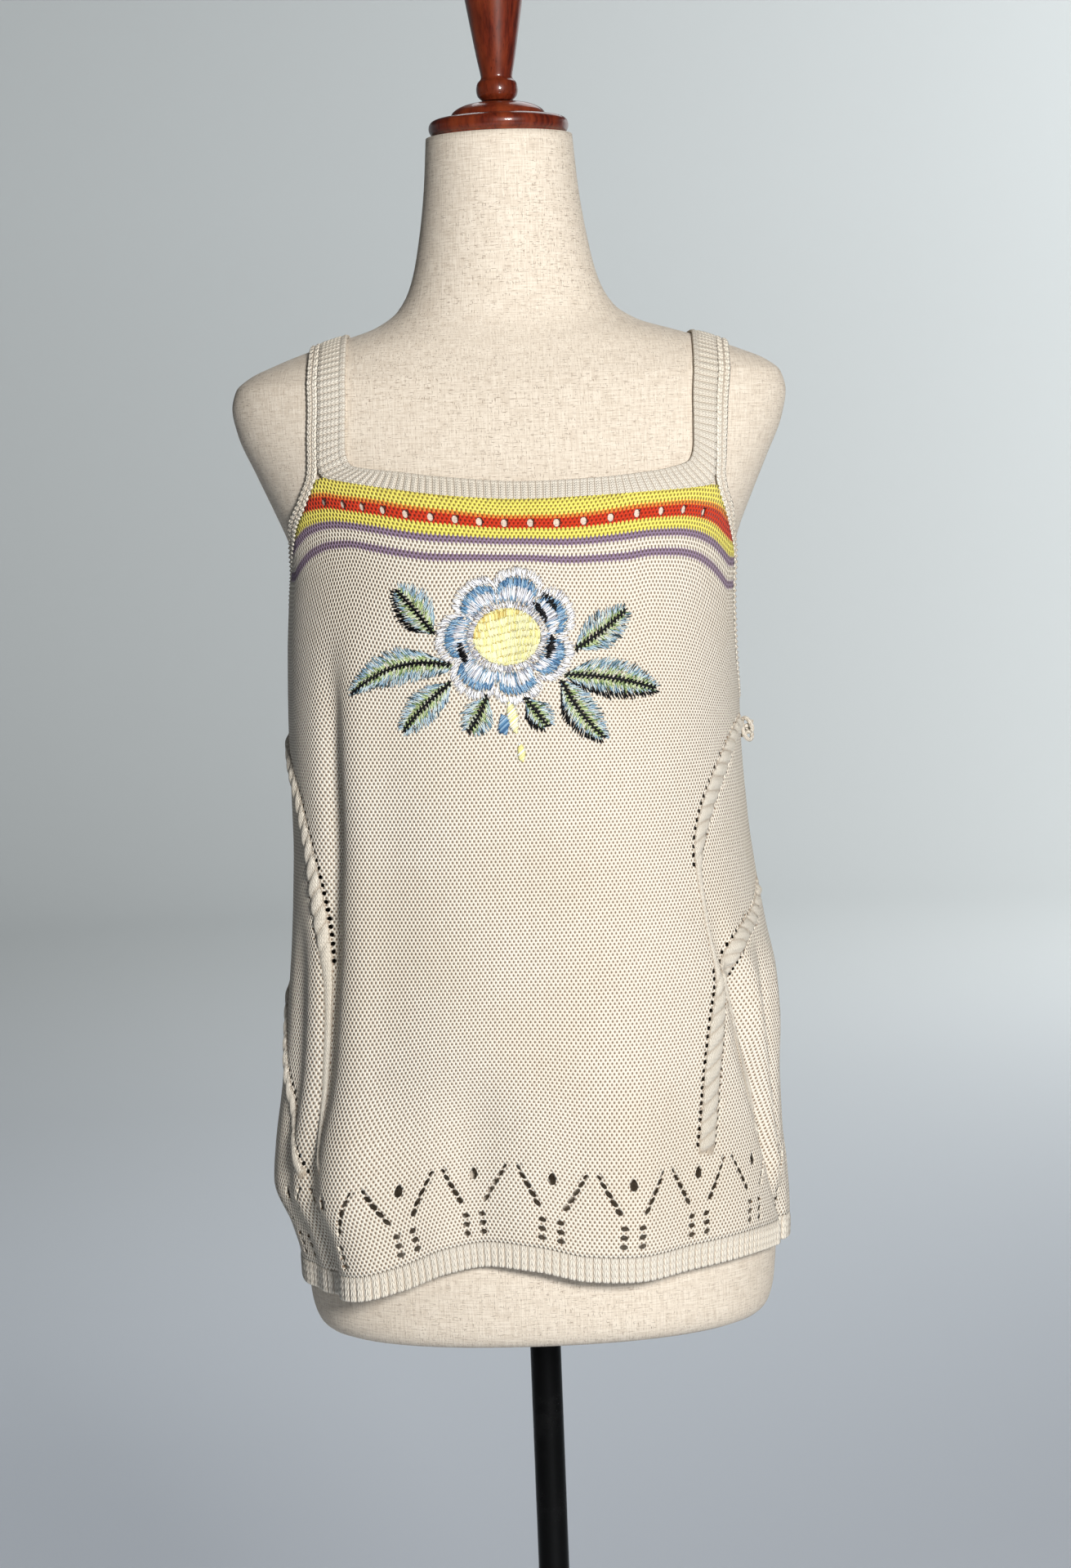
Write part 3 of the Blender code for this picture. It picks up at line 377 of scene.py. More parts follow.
# The hem's lower edge: share of a panel, height.
HEM_FRONT = np.array([
    (-1.0, 764), (-0.8, 760), (-0.62, 758), (-0.45, 760.5), (-0.33, 768), (-0.2, 778),
    (-0.06, 782), (0.06, 779), (0.2, 771.5), (0.32, 770), (0.5, 773.5), (0.75, 776), (1.0, 776)])
HEM_BACK = np.array([
    (-1.0, 776), (-0.6, 768), (-0.2, 774), (0.2, 768), (0.6, 771), (1.0, 764)])
# Soft folds: (share, height) at the top, middle and foot, half-width as a share, depth outwards.
FOLDS_FRONT = [
    ((-0.525, 1190), (-0.555, 1000), (-0.57, 860), 0.048, -9.5),
    ((-0.43, 1200), (-0.45, 1000), (-0.455, 860), 0.075, 4.0),
    ((-0.72, 1010), (-0.69, 890), (-0.66, 770), 0.050, -5.0),
    ((-0.60, 900), (-0.57, 820), (-0.55, 740), 0.090, 4.5),
    ((-0.40, 900), (-0.41, 820), (-0.42, 740), 0.110, 7.0),
    ((-0.10, 920), (-0.09, 820), (-0.08, 740), 0.100, -6.5),
    ((0.30, 920), (0.30, 820), (0.30, 740), 0.110, 5.0),
    ((0.55, 1010), (0.675, 907), (0.93, 787), 0.042, -8.0),
    ((0.68, 985), (0.745, 915), (0.89, 830), 0.030, 3.0),
    ((0.77, 985), (0.82, 915), (0.95, 830), 0.026, -4.0),
    ((0.86, 985), (0.90, 925), (0.97, 850), 0.030, 2.5)]
FOLDS_BACK = [
    ((-0.62, 1060), (-0.64, 900), (-0.66, 740), 0.085, 6.0),
    ((-0.10, 1040), (-0.12, 890), (-0.14, 740), 0.110, 8.0),
    ((0.42, 1060), (0.44, 900), (0.46, 740), 0.090, 7.0),
    ((0.80, 1010), (0.82, 870), (0.84, 740), 0.060, 4.0)]
SNUG_FROM = 1215  # above this height the cloth follows the form
on_form = FORM[FORM[:, 0] > SNUG_FROM][:, [0, 1, 1, 2, 3, 4]]
GARMENT = np.vstack([HANG, on_form + EASE * np.array([0, 1, 1, 1, 1, 0])])
HEM_FROM, HEM_FADE = 1000, 220  # the hem's line bends the chart below this height
TURN_FROM, TURN_FADE = 780, 320  # the chart turns from its hem angles to its bust angles
SEAM_FADE = 0.12  # share of a panel over which folds fade out at its side seams


def garment_section(z):
    """Left, right, front and back sizes of the cloth's section at a height, and its power."""
    return [smooth(GARMENT, k, z) for k in range(1, 6)]


def panel_at(side, share, height):
    """Points of a panel's inner face: the chart's share turns to degrees, its height drops to the
    hem's wavy line, and each fold adds a soft ridge to the section. Side -1 is the front."""
    turns, hem, folds = ((TURN_FRONT, HEM_FRONT, FOLDS_FRONT) if side < 0
                         else (TURN_BACK, HEM_BACK, FOLDS_BACK))
    z = height + (smooth(hem, 1, share) - HEM_LOW) * ease((HEM_FROM - height) / HEM_FADE)
    bust = np.clip((z - TURN_FROM) / TURN_FADE, 0, 1)
    turn = (1 - bust) * smooth(turns, 1, share) + bust * smooth(turns, 2, share)
    push = 0 * z
    for top, middle, foot, wide, depth in folds:
        fade = ease(3 * (top[1] - z) / (top[1] - foot[1]))
        path = np.interp(z, (foot[1], middle[1], top[1]), (foot[0], middle[0], top[0]))
        push = push + depth * fade * np.exp(-((share - path) / wide) ** 2)
    push = push * ease((1 - np.abs(share)) / SEAM_FADE)
    *sizes, power = garment_section(z)
    return on_section(turn, z, *[size + push for size in sizes], power)


def panel_normal(side, share, height):
    """Outward directions of a panel, by small steps in its chart."""
    across = panel_at(side, share + 2e-3, height) - panel_at(side, share - 2e-3, height)
    up = panel_at(side, share, height + 0.5) - panel_at(side, share, height - 0.5)
    return unit(np.cross(across, up))


# Neckband and armbands as pairs of edges, in stretches: where a stretch lies, then for each edge
# its x (at the side its turn) and its height (over a shoulder its degrees).
NECKBAND = [
    ("front", [(3, 1262, 3, 1251.5), (50, 1262.5, 50, 1252), (86, 1265.5, 92, 1253.8),
        (104, 1269, 115, 1255.5), (110.5, 1272, 123.5, 1258), (113.2, 1279, 126.0, 1269)]),
    ("over", [(114.2, 10, 127.6, 8), (115.5, 35, 129.5, 35), (117, 65, 131.2, 65),
        (117, 90, 131.2, 90), (113, 112, 127.2, 114), (106, 135, 120.5, 137), (101, 158, 116, 160),
        (99, 178, 114, 180)]),
    ("back", [(96.5, 1275, 112, 1266), (90, 1269.5, 104, 1259.5), (74, 1266.5, 80, 1256),
        (40, 1265, 42, 1254.5), (0, 1264.5, 0, 1254), (-40, 1265, -42, 1254.5),
        (-74, 1266.5, -80, 1256), (-90, 1269.5, -104, 1259.5), (-96.5, 1275, -112, 1266)]),
    ("over", [(-99, 178, -115, 180), (-99, 158, -115, 160), (-99, 135, -115.4, 137),
        (-99.7, 112, -116.3, 114), (-100.5, 90, -117, 90), (-101, 65, -117.4, 65),
        (-101.8, 35, -118.4, 35), (-102.5, 10, -119.4, 8)]),
    ("front", [(-102.4, 1284, -119.4, 1277), (-99.5, 1277, -116.5, 1270.5),
        (-90, 1274, -103, 1266.5), (-74, 1271.5, -78, 1261.5), (-42, 1266.5, -42, 1255.5)])]
ARMBAND_LEFT = [
    ("over", [(-117.5, 90, -123.8, 90), (-117.9, 65, -124.4, 65), (-118.9, 35, -125.2, 35),
        (-119.9, 8, -126, 8)]),
    ("front", [(-120, 1277, -126.2, 1277.5), (-121, 1269, -127.2, 1270),
        (-124, 1261, -129.8, 1263.5), (-129, 1250, -134.4, 1253.5)]),
    ("side", [(-61.5, 1240, -66, 1243), (-69.5, 1226, -74, 1228.5), (-77.5, 1211, -81.3, 1212.5),
        (-86, 1197, -89.8, 1198), (-91, 1184, -94.8, 1185), (-95, 1165, -98.8, 1166),
        (-97.5, 1146, -101, 1148), (-101.5, 1131, -103.8, 1136), (-108.5, 1124, -108.5, 1130),
        (-116, 1130, -113.5, 1135), (-121, 1147, -117.3, 1149.5), (-123.5, 1170, -119.7, 1171),
        (-125, 1195, -121.2, 1196), (-126, 1218, -122.2, 1220)]),
    ("back", [(-121.5, 1241, -127, 1244.5), (-115.8, 1253, -121.8, 1255.5),
        (-114.4, 1267, -120.8, 1268)]),
    ("over", [(-115.5, 180, -122, 180), (-115.5, 160, -122, 160), (-115.9, 137, -122.3, 137),
        (-116.8, 114, -123.2, 114)])]
ARMBAND_RIGHT = [
    ("over", [(131.7, 90, 139.2, 90), (131.7, 65, 139, 65), (130, 35, 137, 35),
        (128.1, 8, 134.8, 8)]),
    ("front", [(127, 1271, 133.2, 1271.5), (126.4, 1262, 132.4, 1263), (128, 1251, 134, 1252.5),
        (131.3, 1240, 137, 1242.5)]),
    ("side", [(65, 1228, 69, 1229.5), (69.8, 1213, 73.6, 1214), (71.2, 1196, 75, 1196.5),
        (71.8, 1176, 75.6, 1176.5), (73, 1156, 76.8, 1157.5), (75.6, 1140, 79, 1143),
        (80, 1127, 82.3, 1132), (87.5, 1120.5, 87.5, 1126.5), (96, 1122, 94, 1128),
        (103.5, 1131, 100.3, 1135), (109.5, 1147, 105.8, 1149.5), (113.5, 1169, 109.7, 1170),
        (117, 1193, 113.2, 1194.5), (121.5, 1217, 117.8, 1219.5)]),
    ("back", [(121.5, 1241, 127.5, 1244.5), (115.5, 1253, 122, 1255.5),
        (114.2, 1267, 120.8, 1268)]),
    ("over", [(114.5, 180, 121.3, 180), (116.5, 160, 123.4, 160), (121, 137, 128.2, 137),
        (127.7, 114, 135, 114)])]


def cloth_value(p):
    """Below 1 inside the cloth's inner face, above 1 outside it."""
    x, y, z = p.T
    left, right, front, back, power = garment_section(z)
    return ((np.abs(x) / np.where(x < 0, left, right)) ** power
            + (np.abs(y) / np.where(y < 0, front, back)) ** power) ** (1 / power)


PROBE = 0.4  # the small step of the slopes


def cloth_normal(p):
    """Outward directions of the cloth's inner face: the slope of its value."""
    steps = np.eye(3) * PROBE
    return unit(np.stack([cloth_value(p + d) - cloth_value(p - d) for d in steps], 1))


def settle(points):
    """Points moved to the cloth's inner face, straight out or in."""
    for _ in range(6):
        here = cloth_normal(points)
        slope = cloth_value(points + here * PROBE) - cloth_value(points - here * PROBE)
        short = (1 - cloth_value(points)) * 2 * PROBE / slope
        points = points + here * np.clip(short, -3, 3)[:, None]
    return points


SHOULDER = 1285.0  # height of the axis that the bands turn round as they go over a shoulder


def on_body(where, x, q):
    """A point of the cloth's inner face: at a turn and height of its section, or where a ray meets
    it, found by halving. The ray runs forwards or back at a height, or leans over a shoulder."""
    if where == "side":
        row = np.array([float(q)])
        return on_section(np.array([x]), row, *garment_section(row))[0]
    pivot = np.array([x, 0, SHOULDER if where == "over" else q], float)
    lean = math.radians(q)
    way = np.array({"front": (0, -1, 0), "back": (0, 1, 0),
                    "over": (0, -math.cos(lean), math.sin(lean))}[where])
    near, far = 0.0, 160.0
    for _ in range(40):
        mid = (near + far) / 2
        if cloth_value((pivot + mid * way)[None])[0] < 1:
            near = mid
        else:
            far = mid
    return pivot + near * way


def closed_curve(points, count):
    """Evenly spaced points on a smooth closed curve through the given ones."""
    p = np.asarray(points)
    after = np.roll(p, -1, 0)
    knots = np.concatenate([[0], np.cumsum(np.linalg.norm(after - p, axis=1))])
    step = np.diff(knots)
    slope = (after - np.roll(p, 1, 0)) / (np.roll(step, 1) + step)[:, None]

    def at(where):
        """Points of the curve at running lengths of its corners."""
        i = np.clip(np.searchsorted(knots, where, side="right") - 1, 0, len(p) - 1)
        j = (i + 1) % len(p)
        h = step[i][:, None]
        return cubic((where - knots[i])[:, None] / h, h, p[i], p[j], slope[i], slope[j])

    fine = np.linspace(0, knots[-1], 4001)
    run = lengths_along(at(fine))
    return at(np.interp(np.arange(count) * run[-1] / count, run, fine))


def band_edges(stretches, count):
    """The two edges of a band on the cloth's inner face, as evenly spaced pairs."""
    ends = [np.concatenate([on_body(where, *row[:2]), on_body(where, *row[2:])])
            for where, rows in stretches for row in rows]
    both = closed_curve(np.array(ends), count)
    return settle(both[:, :3]), settle(both[:, 3:])


NECK_RIBS, NECK_POINTS = 210, 8
neck_free, neck_seam = band_edges(NECKBAND, NECK_RIBS * NECK_POINTS)
ARM_LINKS, ARM_POINTS = 156, 6
left_seam, left_free = band_edges(ARMBAND_LEFT, ARM_LINKS * ARM_POINTS)
right_seam, right_free = band_edges(ARMBAND_RIGHT, ARM_LINKS * ARM_POINTS)
# Where the neckband leaves each panel: x and height at the left corner, then at the right.
CORNERS = {-1: (-115.5, 1269.5, 122.5, 1256.5), 1: (-103.0, 1258.5, 103.0, 1258.5)}
TUCK = 0.5  # how far a panel reaches under a band
SEAM_X = HALF - 0.25 * GAP  # where a panel ends at its side seams
FOOT_STEPS, FLANK_STEP, TOP_STEP = 160, 3.0, 2.4  # steps round a panel's edge
NECK_BELOW = 1280  # a panel's edge keeps below this height at the neck


def panel_top(side):
    """A panel's upper edge as chart points from its left seam to its right one, along the bands."""
    x_left, z_left, x_right, z_right = CORNERS[side]
    turns = TURN_FRONT if side < 0 else TURN_BACK
    shares = np.linspace(-1, 1, 401)
    runs = []
    for seam, free, arm in ((left_seam, left_free, True), (neck_seam, neck_free, False),
                            (right_seam, right_free, True)):
        x, y, z = (seam - TUCK * unit(seam - free)).T
        left, right, front, back, _ = garment_section(z)
        turn = np.degrees(np.arctan2(x / np.where(x < 0, left, right),
                                     -y / np.where(y < 0, front, back)))
        turn = turn if side < 0 else turn % 360
        keep = (turn > turns[0, 2]) & (turn < turns[-1, 2])
        if arm:
            keep &= z < (z_left if x[0] < 0 else z_right)
        else:
            keep &= (x > x_left) & (x < x_right) & (z < NECK_BELOW)
        run = np.stack([np.interp(turn, smooth(turns, 2, shares), shares) * HALF, z], 1)[keep]
        run = run[np.argsort(run[:, 0])]
        far = np.concatenate([[True], np.diff(np.floor(lengths_along(run) / TOP_STEP)) > 0])
        runs.append(run[far])
    top = np.vstack(sorted(runs, key=lambda run: run[:, 0].mean()))
    return np.vstack([[-SEAM_X, top[0, 1]], top[1:-1], [SEAM_X, top[-1, 1]]])


def hole_ring(x, y, wide, tall, lean=0.0, corners=8, point=0.0, power=2.6):
    """A hole's outline: an oval with squarish ends, leaning to one side, drawn up to a point."""
    turn = (np.arange(corners) + 0.5) * 2 * np.pi / corners
    c, s = np.cos(turn), np.sin(turn)
    size = (np.abs(c) ** power + np.abs(s) ** power) ** (-1 / power)
    a, b = wide / 2 * c * size * (1 - point * np.clip(s, 0, 1)), tall / 2 * s * size
    return np.stack([x + a + lean * b, y + b], 1)


# One lace repeat: side step, height over the rib, width, height, lean. Pairs are mirrored.
LACE_REPEATS = 10
LACE = [
    (5.9, 6.5, 5.0, 3.3, 0.15), (5.8, 12.2, 5.0, 3.3, 0.15), (5.6, 17.8, 4.8, 3.2, 0.15),
    (5.7, 23.0, 4.6, 3.1, 0.2), (9.0, 28.0, 4.0, 4.5, 0.5), (11.9, 33.4, 3.9, 4.9, 0.55),
    (14.9, 38.8, 3.7, 4.9, 0.55), (18.0, 44.2, 3.2, 4.5, 0.55), (20.4, 49.0, 2.2, 3.2, 0.5)]
DROP_UP, DROP_WIDE, DROP_TALL, DROP_POINT = 44.2, 5.4, 7.6, 0.55


def lace_holes():
    """Holes of the lace border: a forked row of pairs to each repeat, and a drop over each fork."""
    holes = []
    for middle in (np.arange(LACE_REPEATS) + 0.5) * 2 * HALF / LACE_REPEATS - HALF:
        holes.append(hole_ring(middle, RIB_TOP + DROP_UP, DROP_WIDE, DROP_TALL, corners=12,
                               point=DROP_POINT))
        holes += [hole_ring(middle + way * step, RIB_TOP + up, wide, tall, way * lean)
                  for step, up, wide, tall, lean in LACE for way in (-1, 1)]
    return holes


# Eyelets of the orange stripe: share and height of each.
EYELETS = [
    (-0.505, 1255.0), (-0.442, 1253.0), (-0.382, 1251.0), (-0.322, 1248.5), (-0.262, 1245.5),
    (-0.199, 1243.0), (-0.138, 1241.0), (-0.077, 1239.0), (-0.012, 1237.5), (0.057, 1237.0),
    (0.126, 1236.5), (0.197, 1237.0), (0.269, 1238.5), (0.342, 1240.5), (0.415, 1241.5),
    (0.490, 1242.0), (0.571, 1240.0)]
# Twisted cables down their middles: share, height, width as a share of the widest. Where the cloth
# folds along one, it narrows to a thin ridge.
CABLES = [
    [(0.90, 1108, 0.7), (0.78, 1101, 0.8), (0.71, 1090, 0.9), (0.65, 1077, 0.95),
     (0.60, 1063, 0.95), (0.56, 1047, 0.85), (0.537, 1032, 0.6), (0.53, 1015, 0.3),
     (0.55, 985, 0.24), (0.568, 960, 0.3), (0.572, 942, 0.75), (0.555, 925, 0.9),
     (0.545, 900, 0.95), (0.54, 870, 0.95), (0.525, 840, 0.9)],
    [(0.935, 1006, 0.7), (0.86, 990, 0.8), (0.745, 980, 0.9), (0.675, 972, 0.9),
     (0.625, 958, 0.8), (0.615, 943, 0.45), (0.645, 922, 0.25), (0.68, 905, 0.25),
     (0.73, 886, 0.25), (0.78, 862, 0.28), (0.81, 838, 0.3)],
    [(-0.93, 1108, 0.6), (-0.83, 1092, 0.75), (-0.74, 1074, 0.8), (-0.685, 1050, 0.8),
     (-0.645, 1027, 0.8), (-0.62, 1000, 0.75), (-0.605, 978, 0.55), (-0.592, 958, 0.32),
     (-0.588, 930, 0.28), (-0.588, 900, 0.28), (-0.57, 870, 0.3), (-0.52, 845, 0.4)],
    [(-0.935, 950, 0.5), (-0.86, 925, 0.55), (-0.79, 903, 0.55), (-0.725, 884, 0.5),
     (-0.66, 864, 0.45), (-0.60, 842, 0.4)]]
CABLE_WIDE, CABLE_HIGH, CABLE_TWIST, CABLE_STEP = 12.5, 2.9, 11.0, 0.5
CABLE_FADE = 12  # length over which a cable fades at its ends
CABLE_NEAR = 90  # farther to the side than this from its middle, a cable lifts nothing
# Beside a cable: eyelets' pitch and distance, and their widths and the least share of the widest
# cable that has them, on the side towards the panel's middle and on the other.
EYELET_STEP, EYELET_OUT = 5.2, 1.5
INNER_EYELETS, OUTER_EYELETS = (2.7, 0.4), (2.0, 0.6)


def cable_frame(path):
    """A cable's middle line in small steps, with its directions, its running length and its
    half-width."""
    p = np.array(path) * (HALF, 1, CABLE_WIDE / 2)
    p = np.concatenate([p[:1], rounded(p, 3)[1:-1], p[-1:]])
    run = lengths_along(p[:, :2])
    at = np.arange(0, run[-1], CABLE_STEP)
    middle = np.stack([np.interp(at, run, p[:, 0]), np.interp(at, run, p[:, 1])], 1)
    along = unit(np.gradient(middle, axis=0))
    across = np.stack([-along[:, 1], along[:, 0]], 1)
    return middle, along, across, at, np.interp(at, run, p[:, 2])


def cable_lift(path, spots):
    """How far a cable raises the cloth at chart points: a flat rounded rope, cut by slanting
    grooves where its strands pass over each other, that fades at its ends. Also a mask of the rope,
    halved in its grooves, by which the material paints shade in the grooves and along its sides."""
    middle, along, across, at, half = cable_frame(path)
    lift, rope = np.zeros(len(spots)), np.zeros(len(spots))
    near = np.flatnonzero((spots[:, 1] < middle[:, 1].max() + CABLE_WIDE)
                          & (np.abs(spots[:, 0] - middle[:, 0].mean()) < CABLE_NEAR))
    away = np.linalg.norm(spots[near][:, None] - middle[None], axis=2)
    k = away.argmin(1)
    side = ((spots[near] - middle[k]) * across[k]).sum(1) / half[k]
    run = at[k] + ((spots[near] - middle[k]) * along[k]).sum(1)
    broad = ease((half[k] / CABLE_WIDE * 2 - 0.3) / 0.35)
    strand = np.abs(np.cos(np.pi * (run / CABLE_TWIST + 0.42 * side)))
    hump = np.sqrt(np.clip(1 - (side / (1 - 0.16 * broad * (1 - strand))) ** 2, 0, 1))
    ends = ease(np.minimum(run, at[-1] - run) / CABLE_FADE + 0.2)
    groove = broad * (1 - strand ** 0.75)
    lift[near] = CABLE_HIGH * hump * (1 - 0.75 * groove) * ends * (0.6 + 0.4 * broad)
    # The rope's mask is halved in the grooves, where the material paints shade.
    rope[near] = ease((1.2 - np.abs(side)) / 0.3) * ends * (1 - 0.5 * ease(1.6 * groove - 0.3))
    return lift, rope


def close_to(points, marks, reach, cell=0.8, room=20):
    """True for the points within a reach of any mark, by filling round each on a fine raster."""
    low = np.minimum(points.min(0), marks.min(0)) - room
    size = ((np.maximum(points.max(0), marks.max(0)) + room - low) / cell).astype(int)
    taken = np.zeros(size, bool)
    mark = ((marks - low) / cell).astype(int)
    n = int(reach / cell) + 1
    for i in range(-n, n + 1):
        for j in range(-n, n + 1):
            if math.hypot(i, j) * cell <= reach:
                taken[mark[:, 0] + i, mark[:, 1] + j] = True
    spot = ((points - low) / cell).astype(int)
    return taken[spot[:, 0], spot[:, 1]]


def staggered(x_low, x_high, y_low, y_high, step):
    """Points of a lattice of even triangles."""
    y = np.arange(y_low, y_high, step * 0.866)
    x = np.arange(x_low, x_high, step)
    return np.stack([x[None] + (np.arange(len(y)) % 2)[:, None] * step / 2 + 0 * y[:, None],
                     y[:, None] + 0 * x[None]], -1).reshape(-1, 2)


# The orange stripe's middle and the lower lilac stripe's foot: share, height.
ORANGE = np.array([
    (-0.76, 1243.0), (-0.68, 1248.5), (-0.6, 1253.5), *EYELETS[:-1], (0.571, 1240.5),
    (0.64, 1237), (0.70, 1231), (0.76, 1226)])
LILAC = np.array([
    (-0.76, 1205.0), (-0.69, 1213), (-0.61, 1220.5), (-0.53, 1224.5), (-0.46, 1225), (-0.38, 1222),
    (-0.29, 1218), (-0.2, 1215), (-0.08, 1214), (0.03, 1213), (0.18, 1210.5), (0.31, 1211),
    (0.4, 1213), (0.48, 1212.5), (0.55, 1210), (0.62, 1204), (0.68, 1197), (0.74, 1189)])
ROW_ORANGE, ROW_LILAC = 1239.0, 1213.0
COURSE_FROM, COURSE_FADE = 1085, 120  # above this height the courses bend to the stripes


def course_height(side, share, height):
    """The height that a point would have if its course of stitches ran level: the chart's height
    low down, and near the front's stripes a share of the way between two of them."""
    if side > 0:
        return height + 0 * share
    lilac = smooth(LILAC, 1, share)
    row = ROW_LILAC + (ROW_ORANGE - ROW_LILAC) * (height - lilac) / (
        smooth(ORANGE, 1, share) - lilac)
    return height + (row - height) * ease((height - COURSE_FROM) / COURSE_FADE)


NET_STEP, FINE_STEP = 3.6, 1.35  # sides of the net's triangles, and of those at the cables
NET_TOP, FINE_TOP = 1275, 1125
HOLE_EDGE, HOLE_APART = 2.5, 0.6  # the least cloth between a hole and an edge, or another hole


def rows_of_eyelets(middle, across, at, half):
    """Small round holes down both sides of a cable, where it is broad enough to have them."""
    inner = -np.sign(middle[:, 0].mean())
    holes = []
    for way, (wide, share) in ((inner, INNER_EYELETS), (-inner, OUTER_EYELETS)):
        spot = middle + way * across * (half[:, None] + EYELET_OUT)
        pick = np.arange(0.5, at[-1] / EYELET_STEP - 0.5) * EYELET_STEP / CABLE_STEP
        pick = pick.astype(int)
        pick = pick[(pick > 0) & (pick < len(spot))]
        holes += [hole_ring(x, y, wide, 1.15 * wide, corners=6)
                  for x, y in spot[pick[half[pick] > share * CABLE_WIDE / 2]]]
    return holes


def clear_holes(holes, top):
    """The holes that lie clear of the panel's edges and of each other, the first ones first."""
    keep = []
    taken = np.full((1, 2), np.inf)
    for hole in holes:
        centre = hole.mean(0)
        reach = np.abs(hole - centre).max()
        room = np.interp(centre[0], top[:, 0], top[:, 1]) - reach - HOLE_EDGE
        near = np.linalg.norm(taken - centre, axis=1).min()
        if (abs(centre[0]) + reach < SEAM_X - HOLE_EDGE and centre[1] < room
                and near > 2 * reach + HOLE_APART):
            keep.append(hole)
            taken = np.vstack([taken, centre])
    return keep


def knit_panel(side, holes, cables):
    """A body panel: a net of triangles in the chart, fine at the cables, with its holes left out,
    laid on the body and raised by the cables. Returns its mesh."""
    low = RIB_TOP - 0.2
    top = panel_top(side)
    foot = np.linspace(-SEAM_X, SEAM_X, FOOT_STEPS + 1)
    flanks = []
    for x, end in ((-SEAM_X, top[0, 1]), (SEAM_X, top[-1, 1])):
        climb = np.arange(low + FLANK_STEP, end - 1, FLANK_STEP)
        flanks.append(np.stack([x + 0 * climb, climb], 1))
    edge = np.vstack([np.stack([foot, 0 * foot + low], 1), flanks[1], top[::-1], flanks[0][::-1]])
    ropes = np.zeros((0, 2))
    for path in cables:
        middle, _, across, at, half = cable_frame(path)
        holes = holes + rows_of_eyelets(middle, across, at, half)
        ropes = np.vstack([ropes, middle])
    holes = clear_holes(holes, top)
    marks = np.vstack([edge] + holes)
    net = staggered(-HALF, HALF, low, NET_TOP, NET_STEP)
    fine = np.zeros((0, 2))
    if len(ropes):
        fine = staggered(-HALF, HALF, low, FINE_TOP, FINE_STEP)
        fine = fine[close_to(fine, ropes, CABLE_WIDE / 2 + 0.5)]
        fine = fine[~close_to(fine, marks, 1.1)]
        net = net[~close_to(net, ropes, CABLE_WIDE / 2 + 2.0)]
    halo = np.vstack([(hole - hole.mean(0)) * 1.7 + hole.mean(0) for hole in holes])
    halo = halo[~close_to(halo, marks, 0.9)]
    net = net[~close_to(net, np.vstack([marks, halo]), 0.55 * NET_STEP)]
    inside = np.vstack([fine, net, halo])
    ceiling = np.interp(inside[:, 0], top[:, 0], top[:, 1])
    inside = inside[(inside[:, 1] < ceiling - 1.2) & (inside[:, 1] > low + 1.0)
                    & (np.abs(inside[:, 0]) < SEAM_X - 1.0)]
    loops = [edge] + holes
    starts = np.cumsum([0] + [len(loop) for loop in loops]).tolist()
    ties = [(s + i, s + (i + 1) % len(loop)) for s, loop in zip(starts, loops)
            for i in range(len(loop))]
    cut = [list(range(s, s + len(hole))) for s, hole in zip(starts[1:], holes)]
    spots, _, faces, _, _, origin = delaunay_2d_cdt(
        np.vstack(loops + [inside]).tolist(), ties, cut, 1, 1e-4)
    spots = np.array([tuple(spot) for spot in spots])
    faces = np.array([face for face, source in zip(faces, origin) if not source])
    share, height = spots[:, 0] / HALF, spots[:, 1]
    lift, rope = np.zeros(len(spots)), np.zeros(len(spots))
    for path in cables:
        one, mask = cable_lift(path, spots)
        lift, rope = np.maximum(lift, one), np.maximum(rope, mask)
    points = panel_at(side, share, height) + panel_normal(side, share, height) * (
        CLOTH + lift)[:, None]
    mesh = bpy.data.meshes.new("net")
    mesh.from_pydata((points * 0.001).tolist(), [], faces.tolist())
    row = course_height(side, share, height)
    uv = np.stack([spots[:, 0] / WALE, (row - HEM_LOW) / (2 * COURSE)], 1)
    mesh.uv_layers.new(name="cloth").data.foreach_set("uv", uv[faces.ravel()].ravel())
    row = row if side < 0 else np.minimum(row, ROW_LILAC - 10)  # the back has no stripes
    for key, values in (("row", row), ("rope", rope)):
        mesh.attributes.new(key, "FLOAT", "POINT").data.foreach_set("value", values.astype("f"))
    face_outwards(mesh, side=side)
    return mesh


def new_group(name, inputs, outputs):
    """An empty node group with its sockets, and its two end nodes."""
    group = bpy.data.node_groups.new(name, "ShaderNodeTree")
    for way, sockets in (("INPUT", inputs), ("OUTPUT", outputs)):
        for label, kind in sockets:
            group.interface.new_socket(label, in_out=way, socket_type="NodeSocket" + kind)
    return group, group.nodes.new("NodeGroupInput"), group.nodes.new("NodeGroupOutput")


def put_out(end, *values):
    """Links values to the outputs of a node group, in their order."""
    for socket, value in zip(end.inputs, values):
        end.id_data.links.new(value, socket)


# Purl stitches: a bump in each half cell of a diamond net, with a hollow between bumps, whose mask
# marks where shade is painted. Lift is how far a point lies from its stitch's row, so that a stripe
# ends on whole stitches.
purl, start, end = new_group("purl stitches", [("UV", "Vector")], [
    ("Height", "Float"), ("Pit shade", "Float"), ("Lift", "Float"), ("Tint", "Float")])
u, v, _ = add_node(purl, "SeparateXYZ", {0: start.outputs[0]}).outputs
one_at, two_at = calc("ROUND", calc("ADD", u, v)), calc("ROUND", calc("SUBTRACT", u, v))
waves = calc("MULTIPLY", *(calc("COSINE", calc("MULTIPLY", way, 2 * math.pi)) for way in (u, v)))
stitch_v = calc("MULTIPLY", calc("SUBTRACT", one_at, two_at), 0.5)
stitch = add_node(purl, "CombineXYZ", {0: one_at, 1: two_at}).outputs[0]
tint = add_node(purl, "TexWhiteNoise", {"Vector": stitch}, noise_dimensions="2D").outputs[0]
put_out(end, calc("MULTIPLY_ADD", waves, 0.5, 0.5), between(waves, -0.10, -0.66),
        calc("SUBTRACT", stitch_v, v), tint)
